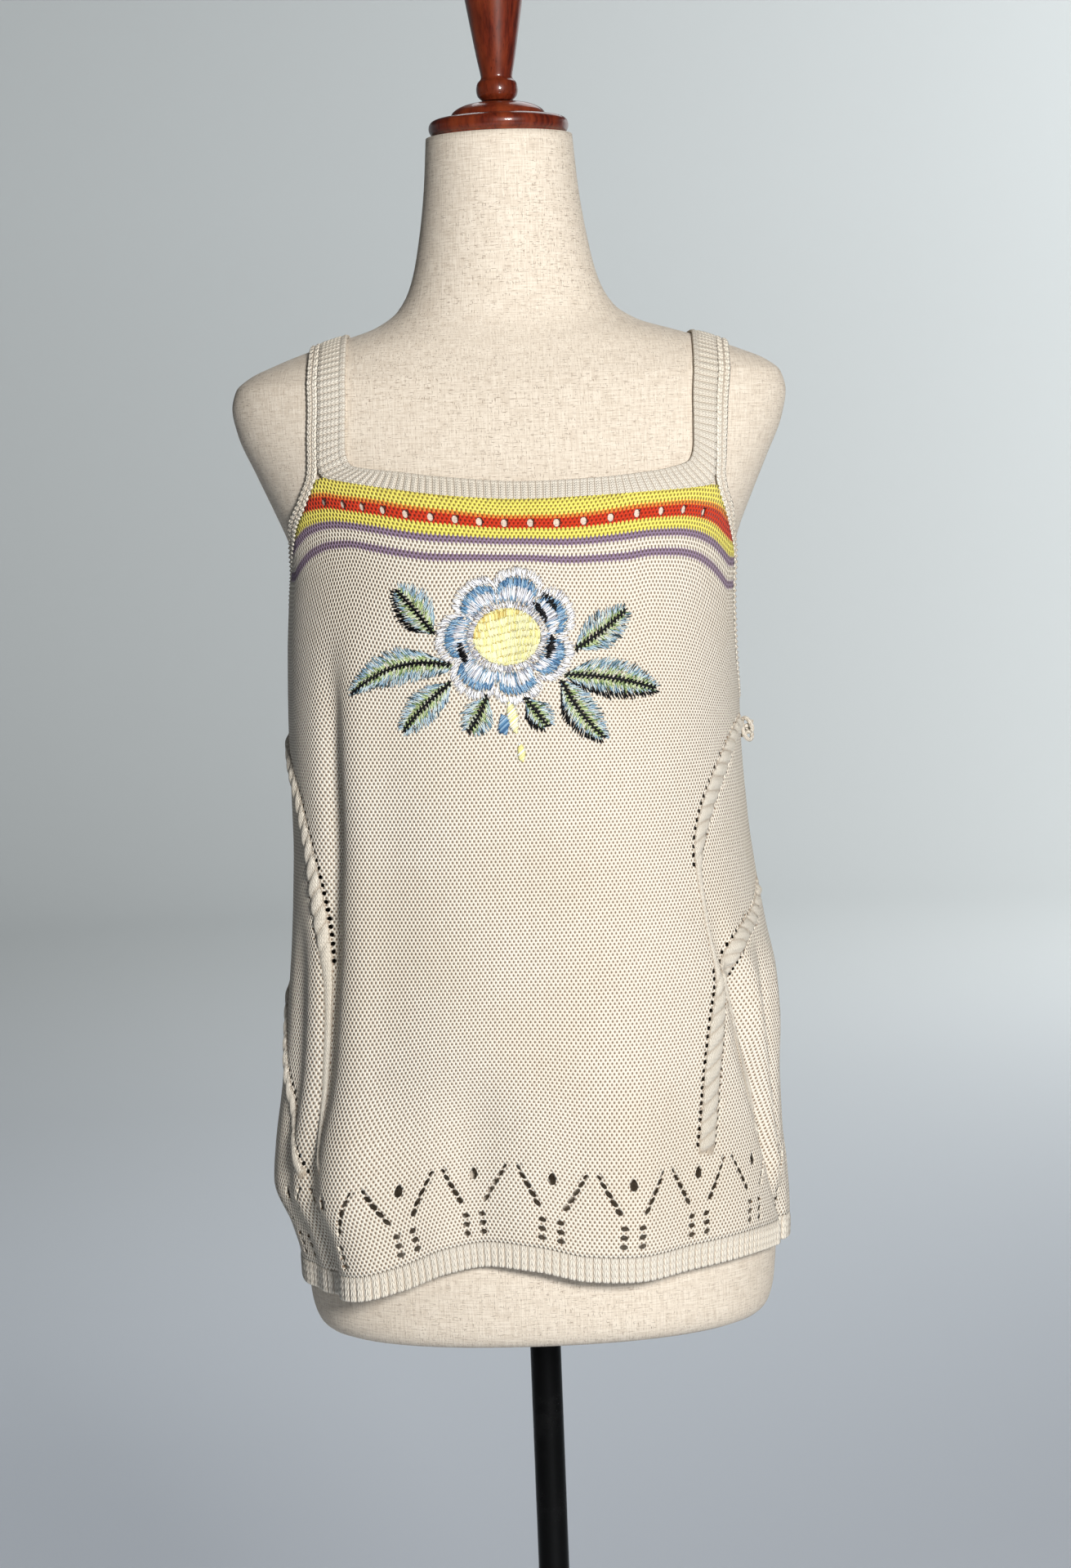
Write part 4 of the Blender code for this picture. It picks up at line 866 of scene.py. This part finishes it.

# Plain stitches: two slanting legs to each stitch, with a cleft between columns, and a mask of
# where the legs sink, for painted shade.
plain, start, end = new_group("plain stitches", [("UV", "Vector")], [
    ("Height", "Float"), ("Pit shade", "Float")])
u, v, _ = add_node(plain, "SeparateXYZ", {0: start.outputs[0]}).outputs
half = calc("ABSOLUTE", calc("SUBTRACT", calc("FRACT", u), 0.5))
slant = calc("FRACT", calc("MULTIPLY_ADD", half, 1.1, v))
leg = calc("SINE", calc("MULTIPLY", slant, math.pi))
cleft = calc("SINE", calc("MULTIPLY", half, 2 * math.pi))
tall = calc("MULTIPLY", calc("POWER", leg, 0.7), calc("POWER", cleft, 0.5))
put_out(end, tall, between(tall, 0.45, 0.1))

# Yarn: a soft wear over the cloth, and the plies' fine relief, with painted shade where it sinks.
YARN_WORN, YARN_SHADE = (0.90, 0.86, 0.78, 1), (0.60, 0.54, 0.46, 1)
fuzz, start, end = new_group("yarn", [("Color", "Color"), ("Height", "Float"), ("Vector", "Vector")],
                             [("Color", "Color"), ("Height", "Float")])
ply = noise(start.outputs[2], 1900.0, 3.0, 0.6)
bloom = noise(start.outputs[2], 14.0, 2.0)
wear_and_shade = mixed(between(bloom, 0.35, 0.7, 0.0, 0.3), start.outputs[0], YARN_WORN, "MULTIPLY")
wear_and_shade = mixed(between(ply, 0.3, 0.7, 0.22, 0.0), wear_and_shade, YARN_SHADE, "MULTIPLY")
put_out(end, wear_and_shade, calc("MULTIPLY_ADD", ply, 0.22, start.outputs[1]))


def add_group(group, *values):
    """The outputs of a placed node group."""
    return add_node(values[0].id_data, "Group", enumerate(values), node_tree=group).outputs


def knit_finish(tree, shader, colour, height, strength):
    """The last nodes of a knitted material: fuzz of the yarn over its colour and relief."""
    colour, height = add_group(fuzz, colour, height, object_place(tree))
    dress(tree, shader, colour, height, strength, 0.0009)


# The colours for the stitches' pits and the cables' grooves are painted shade for those hollows; the
# stitch colour is each stitch's own random tone.
CREAM, CREAM_PIT_SHADE, PIT_SHADE = (0.93, 0.87, 0.76, 1), (0.50, 0.41, 0.32, 1), (0.26, 0.18, 0.125, 1)
STITCH_SHADE, GROOVE_SHADE = (0.55, 0.5, 0.42, 1), (0.55, 0.46, 0.38, 1)
YELLOW, LILAC_YARN = (0.96, 0.87, 0.17, 1), (0.31, 0.225, 0.33, 1)
ORANGE_RED, ORANGE_EDGE = (0.70, 0.045, 0.010, 1), (0.86, 0.30, 0.05, 1)
# Stripes of the yoke: the row that each starts at, and its colour.
STRIPES = [(1213.0, LILAC_YARN), (1219.0, CREAM), (1224.0, LILAC_YARN), (1228.0, YELLOW),
           (1234.6, ORANGE_EDGE), (1236.0, ORANGE_RED), (1242.4, ORANGE_EDGE), (1243.8, YELLOW)]
STRIPES_LOW, STRIPES_HIGH = 1205.0, 1260.0
KNIT_FEEL = {"Roughness": 0.82, "Specular_IOR_Level": 0.3, "Sheen_Weight": 0.08,
             "Sheen_Roughness": 0.5}

panel_knit, tree, shader = new_material("purl_knit", **KNIT_FEEL)
laid = cloth_place(tree)
height, pit_shade, rise, tint = add_group(purl, laid)
row, rope = (add_node(tree, "Attribute", attribute_name=key).outputs["Fac"]
             for key in ("row", "rope"))
row = calc("MULTIPLY_ADD", rise, 2 * COURSE, row)
ramp = add_node(tree, "ValToRGB", {0: add_node(tree, "MapRange", {
    0: row, 1: STRIPES_LOW, 2: STRIPES_HIGH}).outputs[0]})
ramp.color_ramp.interpolation = "CONSTANT"
ramp.color_ramp.elements.remove(ramp.color_ramp.elements[1])
ramp.color_ramp.elements[0].color = CREAM
for foot, colour in STRIPES:
    stop = (foot - STRIPES_LOW) / (STRIPES_HIGH - STRIPES_LOW)
    ramp.color_ramp.elements.new(stop).color = colour
strand, cleft = add_group(plain, drawn_out(laid, 1.9, 1.5, 1.0))
on_rope = between(rope, 0.1, 0.45)
pit_shade, height = (
    add_node(tree, "Mix", {0: on_rope, 2: off, 3: calc("MULTIPLY", on, share)}).outputs[0]
    for off, on, share in ((pit_shade, cleft, 0.25), (height, strand, 0.6)))
# Painted shade: darker along the cables' sides and in the grooves between their strands.
groove = calc("SUBTRACT", 1.0, between(rope, 0.4, 0.8))
groove = calc("MULTIPLY", groove, between(rope, 0.02, 0.3))
shade = ramp.outputs[0]
# Painted shade: the pits between stitches and the cables' sides and grooves are darkened.
for value, share, colour in ((tint, 0.14, STITCH_SHADE), (pit_shade, 0.95, PIT_SHADE),
                             (groove, 0.6, GROOVE_SHADE)):
    shade = mixed(calc("MULTIPLY", value, share), shade, colour, "MULTIPLY")
knit_finish(tree, shader, shade, height, 1.0)

EYELET_WIDE, EYELET_TALL = 4.7, 5.5
eyes = [hole_ring(share * HALF, z, EYELET_WIDE, EYELET_TALL) for share, z in EYELETS]
for name, side, holes, cables in (("front_panel", -1, lace_holes() + eyes, CABLES),
                                  ("back_panel", 1, lace_holes(), [])):
    mesh = knit_panel(side, holes, cables)
    piece = finish_piece(name + "_knit", mesh, panel_knit)
    wall = piece.modifiers.new("wall", "SOLIDIFY")
    wall.thickness, wall.offset = SHELL * 0.001, -1
    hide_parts(name)


# ---- Hem ribs: two plain stitches and a purl gutter by turns, knitted on at the panels' feet in
# the same yarn; the cast-on edge is rounded, with a small scallop under each rib.
rib_knit, tree, shader = new_material("rib_knit", **KNIT_FEEL)
laid = cloth_place(tree)
height, pit_shade = add_group(plain, laid)
across, _, _ = add_node(tree, "SeparateXYZ", {0: laid}).outputs
# Painted shade: the gutters between the ribs and the pits between stitches are darkened.
gutter = calc("COSINE", calc("MULTIPLY", across, math.pi))
gutter = between(gutter, -0.5, -1.0, 0.0, 0.65)
dark = calc("MAXIMUM", calc("MULTIPLY", pit_shade, 0.6), gutter)
knit_finish(tree, shader, mixed(dark, CREAM, CREAM_PIT_SHADE), height, 0.8)

HEM_POINTS, HEM_OUT, HEM_ROUND = 8, 1.3, 1.2
RIB_OUT, SCALLOP = 1.3, 0.8
RIBS = round(2 * HALF / RIB_PITCH)
u = np.linspace(0, RIBS, RIBS * HEM_POINTS + 1)
phase = np.abs(u % 1 - 0.5)
rib = ease((0.5 - phase) / 0.22) * (1 - 0.16 * np.exp(-(phase / 0.07) ** 2))
low, top = HEM_LOW - SCALLOP * rib, RIB_TOP - 0.2 + 0 * u
lift = HEM_OUT + RIB_OUT * rib
bend = np.linspace(0, np.pi, 7)[1:-1, None]
flat = np.linspace(0, 1, 8)[:, None]
outer = top + (low + HEM_ROUND - top) * flat
height = np.vstack([outer, low + HEM_ROUND * (1 - np.sin(bend)), outer[::-1]])
out = np.vstack([CLOTH + (lift - CLOTH) * ease(3 * flat), lift * (1 + np.cos(bend)) / 2,
                 0 * lift + 0 * flat])
out[:, [0, -1]] = 0.8
share = (u / RIBS * 2 - 1) * (1 - 0.4 * GAP / HALF) + 0 * height
for name, side in (("front_hem", -1), ("back_hem", 1)):
    points = panel_at(side, share, height) + panel_normal(side, share, height) * out[..., None]
    run = lengths_along(points.transpose(1, 0, 2)).mean(0)
    run = np.append(run, run[-1] + 1)
    uv = np.stack([2 * u + 1 + 0 * run[:, None], run[:, None] / (2 * COURSE) + 0 * u], -1)
    mesh = grid_mesh(points, uv, (True, False))
    piece = finish_piece(name + "_rib", mesh, rib_knit)
    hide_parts(name)


# ---- Neckband: one narrow rib in the round, picked up along the neckline and carried up as the
# inner part of both straps; its cast-off edge rolls over into a smooth cord.
BED, CHAIN_LONG = 0.5, 2.4  # height of a band off the cloth's inner face, length of a chain stitch


def laid_band(name, free, seam, across, rise, ribs):
    """A closed band: at each station a cross profile of (share from free edge to seam, height),
    set on the cloth's inner face along its normal. Its stitches run across it in a number of ribs,
    or along it in two columns if that is 0."""
    feet = free[:, None] + (seam - free)[:, None] * across[None, :, None]
    shape = feet.shape
    feet = settle(feet.reshape(-1, 3))
    points = (feet + cloth_normal(feet) * (BED + rise).reshape(-1, 1)).reshape(shape)
    run = lengths_along(np.vstack([seam, seam[:1]]))[:, None]
    width = lengths_along(points).mean(0)
    width = np.append(width, width[-1] + 1)
    if ribs:
        turn = np.linspace(0, 2 * ribs, len(run))[:, None]
        uv = np.stack([turn + 0 * width, width / COURSE + 0 * run], -1)
    else:
        column = 2 * np.append(across, 0).clip(0, 1)
        uv = np.stack([column + 0 * run, run / CHAIN_LONG + 0 * width], -1)
    return finish_piece(name, grid_mesh(points, uv, (True, True)), rib_knit)


# Across the neckband: share from the free edge to the seam, height of the roll, height of a rib.
ROLL = np.array([
    (0.03, 0.0, 0.0), (-0.045, 0.55, 0.0), (-0.03, 1.5, 0.0), (0.05, 2.15, 0.05), (0.13, 1.9, 0.1),
    (0.19, 1.35, 0.4), (0.26, 1.5, 0.8), (0.45, 1.5, 0.9), (0.65, 1.5, 0.9), (0.87, 1.5, 0.9),
    (1.0, 1.4, 0.7), (1.01, 0.3, 0.0)])
crest = 0.5 + 0.5 * np.cos(2 * np.pi * np.arange(len(neck_free)) / NECK_POINTS)[:, None]
piece = laid_band("neckband_rib", neck_free, neck_seam, ROLL[:, 0], ROLL[:, 1] + ROLL[:, 2] * crest,
                  NECK_RIBS)
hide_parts("neckband")


# ---- Armbands: two columns of chain stitches cast off round each armhole, which also make the
# outer part of both straps.
# Across a band: share from the free edge to the seam, height of the cord, swell of a stitch.
CHAIN = np.array([
    (0.0, 0.0, 0.0), (-0.06, 0.7, 0.2), (0.1, 1.5, 0.5), (0.25, 1.8, 0.6), (0.4, 1.6, 0.4),
    (0.5, 1.3, 0.1), (0.6, 1.6, 0.4), (0.75, 1.8, 0.6), (0.9, 1.7, 0.5), (1.06, 1.3, 0.2),
    (1.0, 0.2, 0.0)])
link = np.arange(len(left_free))[:, None] / ARM_POINTS
beat = np.cos(2 * np.pi * (link + 0.5 * (CHAIN[:, 0] > 0.5)))
for name, free, seam in (("armband_left", left_free, left_seam),
                         ("armband_right", right_free, right_seam)):
    piece = laid_band(name + "_chain", free, seam, CHAIN[:, 0], CHAIN[:, 1] + CHAIN[:, 2] * beat, 0)
    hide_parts(name)


# ---- Knot: the end of the seaming yarn, tied off in a knot at the wearer's left underarm. It
# stands out from the side seam, and is of the same cotton as the ribs.
KNOT_MIDDLE, KNOT_SIZE, YARN_R = (144.15, -9.0, 1101.0), (4.4, 6.5, 8.8), 1.35
KNOT_STATIONS, YARN_SIDES = 260, 12


def tube(path, radius, columns):
    """Points of a round tube carried along a closed path: each ring lies across its direction."""
    ahead = unit(np.roll(path, -1, 0) - np.roll(path, 1, 0))
    side = unit(np.cross(ahead, (0.31, 0.17, 0.93)))
    up = np.cross(side, ahead)
    angle = np.linspace(0, 2 * np.pi, columns, endpoint=False)
    return path[:, None] + radius * (side[:, None] * np.cos(angle)[:, None]
                                     + up[:, None] * np.sin(angle)[:, None])


# A three-lobed knot: the path winds twice round its middle and three times in and out.
t = np.linspace(0, 2 * np.pi, KNOT_STATIONS, endpoint=False)
path = np.stack([np.sin(3 * t), (2 + np.cos(3 * t)) * np.cos(2 * t) / 3,
                 (2 + np.cos(3 * t)) * np.sin(2 * t) / 3], 1)
path = path * (np.array(KNOT_SIZE) - YARN_R) + KNOT_MIDDLE
run = lengths_along(np.vstack([path, path[:1]]))[:, None]
uv = np.stack([np.linspace(0, 3, YARN_SIDES + 1) + 0 * run, run / 3.0 + np.zeros(YARN_SIDES + 1)], -1)
mesh = grid_mesh(tube(path, YARN_R, YARN_SIDES), uv, (True, True))
knot = finish_piece("side_knot_yarn", mesh, rib_knit)
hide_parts("side_knot")


# ---- Flower: satin stitch in shiny thread, worked through the knit of the front in white, blues
# and black round a yellow eye, with blue and green leaves. Each stitch is one short raised thread.
FLOWER_SHARE, FLOWER_HEIGHT = -0.018, 1168.8
EYE_WIDE, EYE_TALL = 20.4, 17.4
THREAD_WIDE, THREAD_HIGH = 0.85, 0.5
WHITE, MIST, PALE_BLUE = (0.97, 0.97, 0.98), (0.52, 0.53, 0.60), (0.42, 0.58, 0.72)
MID_BLUE, BLUE, INK = (0.17, 0.36, 0.56), (0.08, 0.19, 0.36), (0.002, 0.002, 0.004)
LEAF_BLUE, LEAF_MIST, LEAF_DARK = (0.24, 0.40, 0.50), (0.66, 0.77, 0.80), (0.04, 0.08, 0.10)
LEAF_GREEN, LEAF_LIGHT, LEAF_PALE = (0.17, 0.27, 0.09), (0.58, 0.70, 0.34), (0.82, 0.87, 0.72)
EYE_YELLOW, EYE_LIGHT, EYE_GOLD = (0.97, 0.91, 0.40), (1.0, 0.97, 0.62), (0.76, 0.58, 0.18)
chance = np.random.default_rng(7)
stitches = []


def sew(start, end, over, *colours):
    """Keeps straight stitches from start to end points, lying so far over the first layer, each in
    one of the colours by chance."""
    dyed = np.array(colours)[chance.integers(0, len(colours), len(start))]
    dyed = dyed * chance.uniform(0.82, 1.0, (len(start), 1))
    stitches.append((start, end, dyed, over + chance.uniform(0, 0.25, len(start))))


def polar(angle, radius):
    """Points at an angle in degrees and a radius."""
    angle = np.radians(angle)
    return np.stack([np.cos(angle) * radius, np.sin(angle) * radius], -1)


# Petals: radial stitches between the eye and a scalloped outline, in from it by millimetres.
PETALS, PETAL_R, PETAL_VALLEY = 7, 42.0, 31.5
angle = np.arange(0, 360, 1.25)
lobe = (angle - 24) / (360 / PETALS)
lobe = 2 * np.abs(lobe - np.round(lobe))
bulge = np.sqrt(np.clip(1 - lobe ** 2.4, 0, 1))
outline = PETAL_VALLEY + bulge * (
    PETAL_R + 1.8 * np.sin(np.radians(2 * angle + 40)) - PETAL_VALLEY)
eye_edge = 1 / np.linalg.norm(polar(angle, 1) / (EYE_WIDE, EYE_TALL), axis=1)


def ring(pick, inner, outer, over, *colours):
    """Petal stitches from inner to outer radii, where picked, with ragged ends."""
    rough = chance.uniform(-1.3, 1.3, (4, pick.sum()))
    a = angle[pick]
    sew(polar(a + 1.8 * rough[0] - 1, (inner + 0 * angle)[pick] + rough[1]),
        polar(a + 1.8 * rough[2] + 1, (outer + 0 * angle)[pick] + rough[3]), over, *colours)


every = angle > -1
ring(every, eye_edge + 3, outline - 7, 0.0, WHITE, MIST, PALE_BLUE, MID_BLUE)
ring(every, eye_edge + 5, outline - 9, 0.15, WHITE, WHITE, MIST)
for lift in (0.1, 0.2):
    ring(bulge > 0.55, outline - 11.5 + 2 * lobe, outline - 4.5 - lobe, lift,
         MID_BLUE, BLUE, PALE_BLUE)
ring(every, outline - 4.5, outline + 0.2, 0.15, WHITE, WHITE, MIST)
ring(every, outline - 5.5, outline + 0.9, 0.25, WHITE)
ring(chance.random(len(angle)) < 0.7, eye_edge - 0.4, eye_edge + 4.0, 0.25, WHITE, WHITE, MIST)
# Black arcs: their middle and half-width in degrees, inner and outer radius.
for middle, sweep, inner, outer in ((37, 11, 32, 35.5), (34, 15, 24.5, 27.5), (345, 14, 25.0, 30.0),
                                    (197, 12, 26.5, 31.0)):
    away = np.abs(angle - middle) / sweep
    for lift in (0.45, 0.6):
        ring(away < 1, inner + 1.5 * away ** 2, outer - 1.5 * away ** 2, lift, INK)

# Eye: rows of upright stitches over a flat layer, their joins wavy, golden along its upper left.
x = np.arange(-EYE_WIDE + 0.5, EYE_WIDE - 0.4, 0.65)
rim = EYE_TALL * np.sqrt(np.clip(1 - (x / EYE_WIDE) ** 2, 0, 1))
for j in range(9):
    wave = 1.5 * np.sin(x / 8.0 + 0.5) + 0.05 * x
    low, high = (np.clip(-EYE_TALL - 2 + 4.6 * j + wave + shift + chance.uniform(-0.6, 0.6, len(x)),
                         -rim, rim) for shift in (-3.4, 3.6))
    golden = (x / EYE_WIDE - 0.25) ** 2 + ((low + high) / 2 / EYE_TALL + 0.3) ** 2 > 1.1
    golden &= (low + high > 0) & (x < 8) & (chance.random(len(x)) < 0.7)
    for part, dyes in (((high - low > 1.0) & ~golden, (EYE_YELLOW, EYE_LIGHT, EYE_LIGHT)),
                       ((high - low > 1.0) & golden, (EYE_GOLD, EYE_YELLOW))):
        lean = 0.5 * np.sin(x[part] / 6)
        for lift in (0.0, 0.2):
            sew(np.stack([x[part] - lean + lift, low[part] + 8 * lift], 1),
                np.stack([x[part] + lean + lift, high[part]], 1), lift, *dyes)
    dot = (high - low > 4.0) & (chance.random(len(x)) < 0.25)
    sew(np.stack([x[dot], high[dot] - 0.9], 1), np.stack([x[dot] + 0.3, high[dot]], 1), 0.4, EYE_GOLD)

# Leaves: where each starts and ends from the eye's middle, half-width, bend, dark edge (or 0).
LEAVES = [
    ((-44, 3), (-69, 31), 10.5, -1.0, 1), ((-33, -16), (-98, -33), 9.5, -9.0, 0),
    ((-34, -26), (-65, -56), 9.0, -1.5, 0), ((-13, -35), (-25, -57), 8.5, 1.0, 0),
    ((10, -37), (23, -55), 7.5, 0.0, -1), ((32, -27), (58, -64), 9.5, -2.5, -1),
    ((34, -24), (93, -36), 10.5, 2.5, -1), ((41, -9), (74, 14), 9.5, -1.0, 0)]
# Layers of a half leaf: pitch, from and to as shares of the half-width, lift, colours. The last
# two make its fringe, which is black along a dark edge.
FRINGE = (LEAF_BLUE, LEAF_MIST, LEAF_MIST, PALE_BLUE, LEAF_DARK)
LAYERS = [(1.1, 0.0, 0.64, 0.0, (LEAF_LIGHT, LEAF_LIGHT, LEAF_PALE)),
          (1.3, 0.42, 0.90, 0.1, (LEAF_MIST, PALE_BLUE)),
          (2.0, 0.05, 0.52, 0.25, (LEAF_GREEN, LEAF_PALE, LEAF_LIGHT)),
          (1.9, 0.38, 0.82, 0.3, (LEAF_PALE, LEAF_GREEN, LEAF_BLUE, LEAF_MIST)),
          (1.6, 0.60, 1.10, 0.2, FRINGE), (1.7, 0.72, 1.22, 0.35, FRINGE)]
# Crossing stitches of a midrib: pitch, half-length along and across, start, lift.
MIDRIB = [(1.5, 2.0, 0.4, 0.0, 0.7), (2.6, 1.2, 2.4, 0.0, 0.85), (2.6, 1.2, 2.2, 0.55, 0.85)]


def down_leaf(leaf, t):
    """Points down a leaf's bent middle line: a parabola over the line from its start to its end."""
    start, run, square, bow = leaf
    return start + run * t[:, None] + square * (4 * bow * t * (1 - t))[:, None]


for start, end, wide, bow, dark in LEAVES:
    start, end = np.array(start, float), np.array(end, float)
    length = np.linalg.norm(end - start)
    along = (end - start) / length
    square = np.array([-along[1], along[0]])
    leaf = start, end - start, square, bow
    for way in (-1, 1):
        for pitch, low, high, over, dyes in LAYERS:
            t = np.arange(0.0, 1 - 3.5 / length, pitch / length)
            spread = way * wide * np.sin(np.pi * np.clip(t + 0.03, 0, 1) ** 0.85) ** 0.75
            rough = chance.uniform(-0.15, 0.15, (2, len(t)))
            inner = down_leaf(leaf, t) + square * (spread * (low + rough[0]))[:, None]
            outer = down_leaf(leaf, t) + square * (spread * (high + rough[1]))[:, None]
            sew(inner + along * 3.5 * low, outer + along * (4.2 * high + 0.5), over,
                *((INK,) if dyes is FRINGE and dark == way else dyes))
    for pitch, forward, sideways, shift, lift in MIDRIB:
        t = np.arange(0.03, 0.97, pitch / length) + shift / length
        reach = chance.uniform(0.8, 1.25, (len(t), 1)) * (forward * along + sideways * square)
        sew(down_leaf(leaf, t) - reach, down_leaf(leaf, t) + reach, lift, INK)

# Bud: a yellow sprig with one blue leaflet, below the flower: x, y, length, half-width, colours.
SPRIG = (EYE_LIGHT, EYE_YELLOW, WHITE)
for x, y, tall, wide, dyes in ((1.8, -49, 21, 4.0, SPRIG),
                               (-3.6, -53, 13, 4.2, (MID_BLUE, BLUE, PALE_BLUE)),
                               (6.3, -70.5, 12, 3.0, SPRIG)):
    t = np.arange(-0.5, 0.5, 0.6 / tall)
    swell = wide * np.cos(np.pi * t) * chance.uniform(0.8, 1.15, len(t))
    middle = np.stack([x - 0.22 * tall * t, y + tall * t], 1)
    out = np.stack([swell, 0.9 * swell], 1)
    sew(middle - out, middle + out, 0.2, *dyes)

# Each thread has eight points: its two ends, and a ridge with two feet near each end. Table:
# share of its length, side, height, of each point, and then its faces.
start, end, colours, over = (np.concatenate(part) for part in zip(*stitches))
along = end - start
square = unit(np.stack([-along[:, 1], along[:, 0]], 1)) * THREAD_WIDE / 2
THREAD = np.array([
    (0, 0, 0), (0.22, -1, 0), (0.22, 0, 1), (0.22, 1, 0), (0.78, -1, 0), (0.78, 0, 1), (0.78, 1, 0),
    (1, 0, 0)])
FACES = [(0, 2, 1), (0, 3, 2), (0, 1, 3), (1, 2, 5, 4), (2, 3, 6, 5), (3, 1, 4, 6), (4, 5, 7),
         (5, 6, 7), (6, 4, 7)]
CORNERS_EACH = len(THREAD)
flat = (start[:, None] + along[:, None] * THREAD[None, :, :1]
        + square[:, None] * THREAD[None, :, 1:2])
line = np.linspace(-0.6, 0.6, 241)
reach = lengths_along(panel_at(-1, line, FLOWER_HEIGHT + 0 * line))
reach = reach - np.interp(FLOWER_SHARE, line, reach)
share = np.interp(flat[..., 0], reach, line).ravel()
height = (FLOWER_HEIGHT + flat[..., 1]).ravel()
lift = CLOTH + np.tile(THREAD[:, 2] * THREAD_HIGH, len(start)) + np.repeat(over, CORNERS_EACH)
points = panel_at(-1, share, height) + panel_normal(-1, share, height) * lift[:, None]
mesh = bpy.data.meshes.new("flower_thread")
mesh.from_pydata((points * 0.001).tolist(), [], [
    tuple(first + corner for corner in face)
    for first in range(0, len(points), CORNERS_EACH) for face in FACES])
tints = np.ones((len(points), 4), "f")
tints[:, :3] = np.repeat(colours, CORNERS_EACH, 0)
mesh.color_attributes.new("thread", "FLOAT_COLOR", "POINT").data.foreach_set("color", tints.ravel())
face_outwards(mesh)
thread, tree, shader = new_material("embroidery_thread", Roughness=0.5, Specular_IOR_Level=0.2)
dye = add_node(tree, "Attribute", attribute_name="thread").outputs["Color"]
strand = noise(object_place(tree), 2600.0, 2.0)
# The thread is darkened where its fine relief sinks: painted shade in the hollows of its twist.
dye = mixed(between(strand, 0.3, 0.7, 0.25, 0.0), dye, (0.5, 0.5, 0.5, 1), "MULTIPLY")
dress(tree, shader, dye, strand, 0.4, 0.0002)
finish_piece("flower_thread", mesh, thread)


# ---- Studio: a pale painted floor that sweeps up all round, a soft light by the camera, one each
# for the floor and the wall behind, a weak one from behind and a little light from all round.
FLOOR_R, SWEEP_R, WALL_TALL = 9.0, 2.5, 4.5
PAINT_NEAR, PAINT_FAR = (0.66, 0.70, 0.76, 1), (0.67, 0.695, 0.705, 1)
bend = np.linspace(0, np.pi / 2, 24)
sweep = np.stack([FLOOR_R + SWEEP_R * np.sin(bend), SWEEP_R * (1 - np.cos(bend))], 1)
sweep = np.vstack([(0.001, 0), sweep, (FLOOR_R + SWEEP_R, WALL_TALL)]) * 1000
floor = bpy.data.objects.new("floor", grid_mesh(*turned(sweep)))
floor.data.flip_normals()
floor.data.polygons.foreach_set("use_smooth", np.ones(len(floor.data.polygons), bool))
paint, tree, shader = new_material("pale_paint", Roughness=0.9, Specular_IOR_Level=0.1)
away = add_node(tree, "VectorMath", {0: object_place(tree)}, operation="LENGTH").outputs["Value"]
tree.links.new(mixed(between(away, 0.5, 9.0), PAINT_NEAR, PAINT_FAR),
               shader.inputs["Base Color"])
floor.data.materials.append(paint)
bpy.context.scene.collection.objects.link(floor)
world = bpy.data.worlds.new("sky")
world.use_nodes = True
sky = world.node_tree.nodes["Background"]
sky.inputs[0].default_value = (0.93, 0.96, 1.0, 1)
sky.inputs[1].default_value = 0.035
bpy.context.scene.world = world
bpy.context.scene.view_settings.view_transform = "Standard"
# Lights: place, what each is turned to, size, watts, colour.
LIGHTS = {
    "key": ((0.8, -2.71, 1.75), (0, 0, 1.1), 0.5, 98.0, (1.0, 0.985, 0.965)),
    "floor": ((0.8, 3.8, 4.2), (0.5, 2.6, 0), 3.2, 62.0, (0.95, 0.98, 1.0)),
    "backdrop": ((5.0, 5.5, 4.0), (2.4, 10.5, 2.4), 2.0, 460.0, (0.98, 1.0, 0.99)),
    "behind": ((-0.6, 3.2, 3.2), (0, 0, 1.1), 1.5, 26.0, (0.97, 0.99, 1.0))}
for name, (place, aim, size, power, colour) in LIGHTS.items():
    light = bpy.data.objects.new(name, bpy.data.lights.new(name, "AREA"))
    light.data.size, light.data.energy, light.data.color = size, power, colour
    z_axis = unit(np.array(place) - aim)
    x_axis = unit(np.cross((0, 0, 1.0), z_axis))
    light.matrix_world = standing(x_axis, np.cross(z_axis, x_axis), z_axis, place)
    light.visible_glossy = name != "behind"
    bpy.context.scene.collection.objects.link(light)
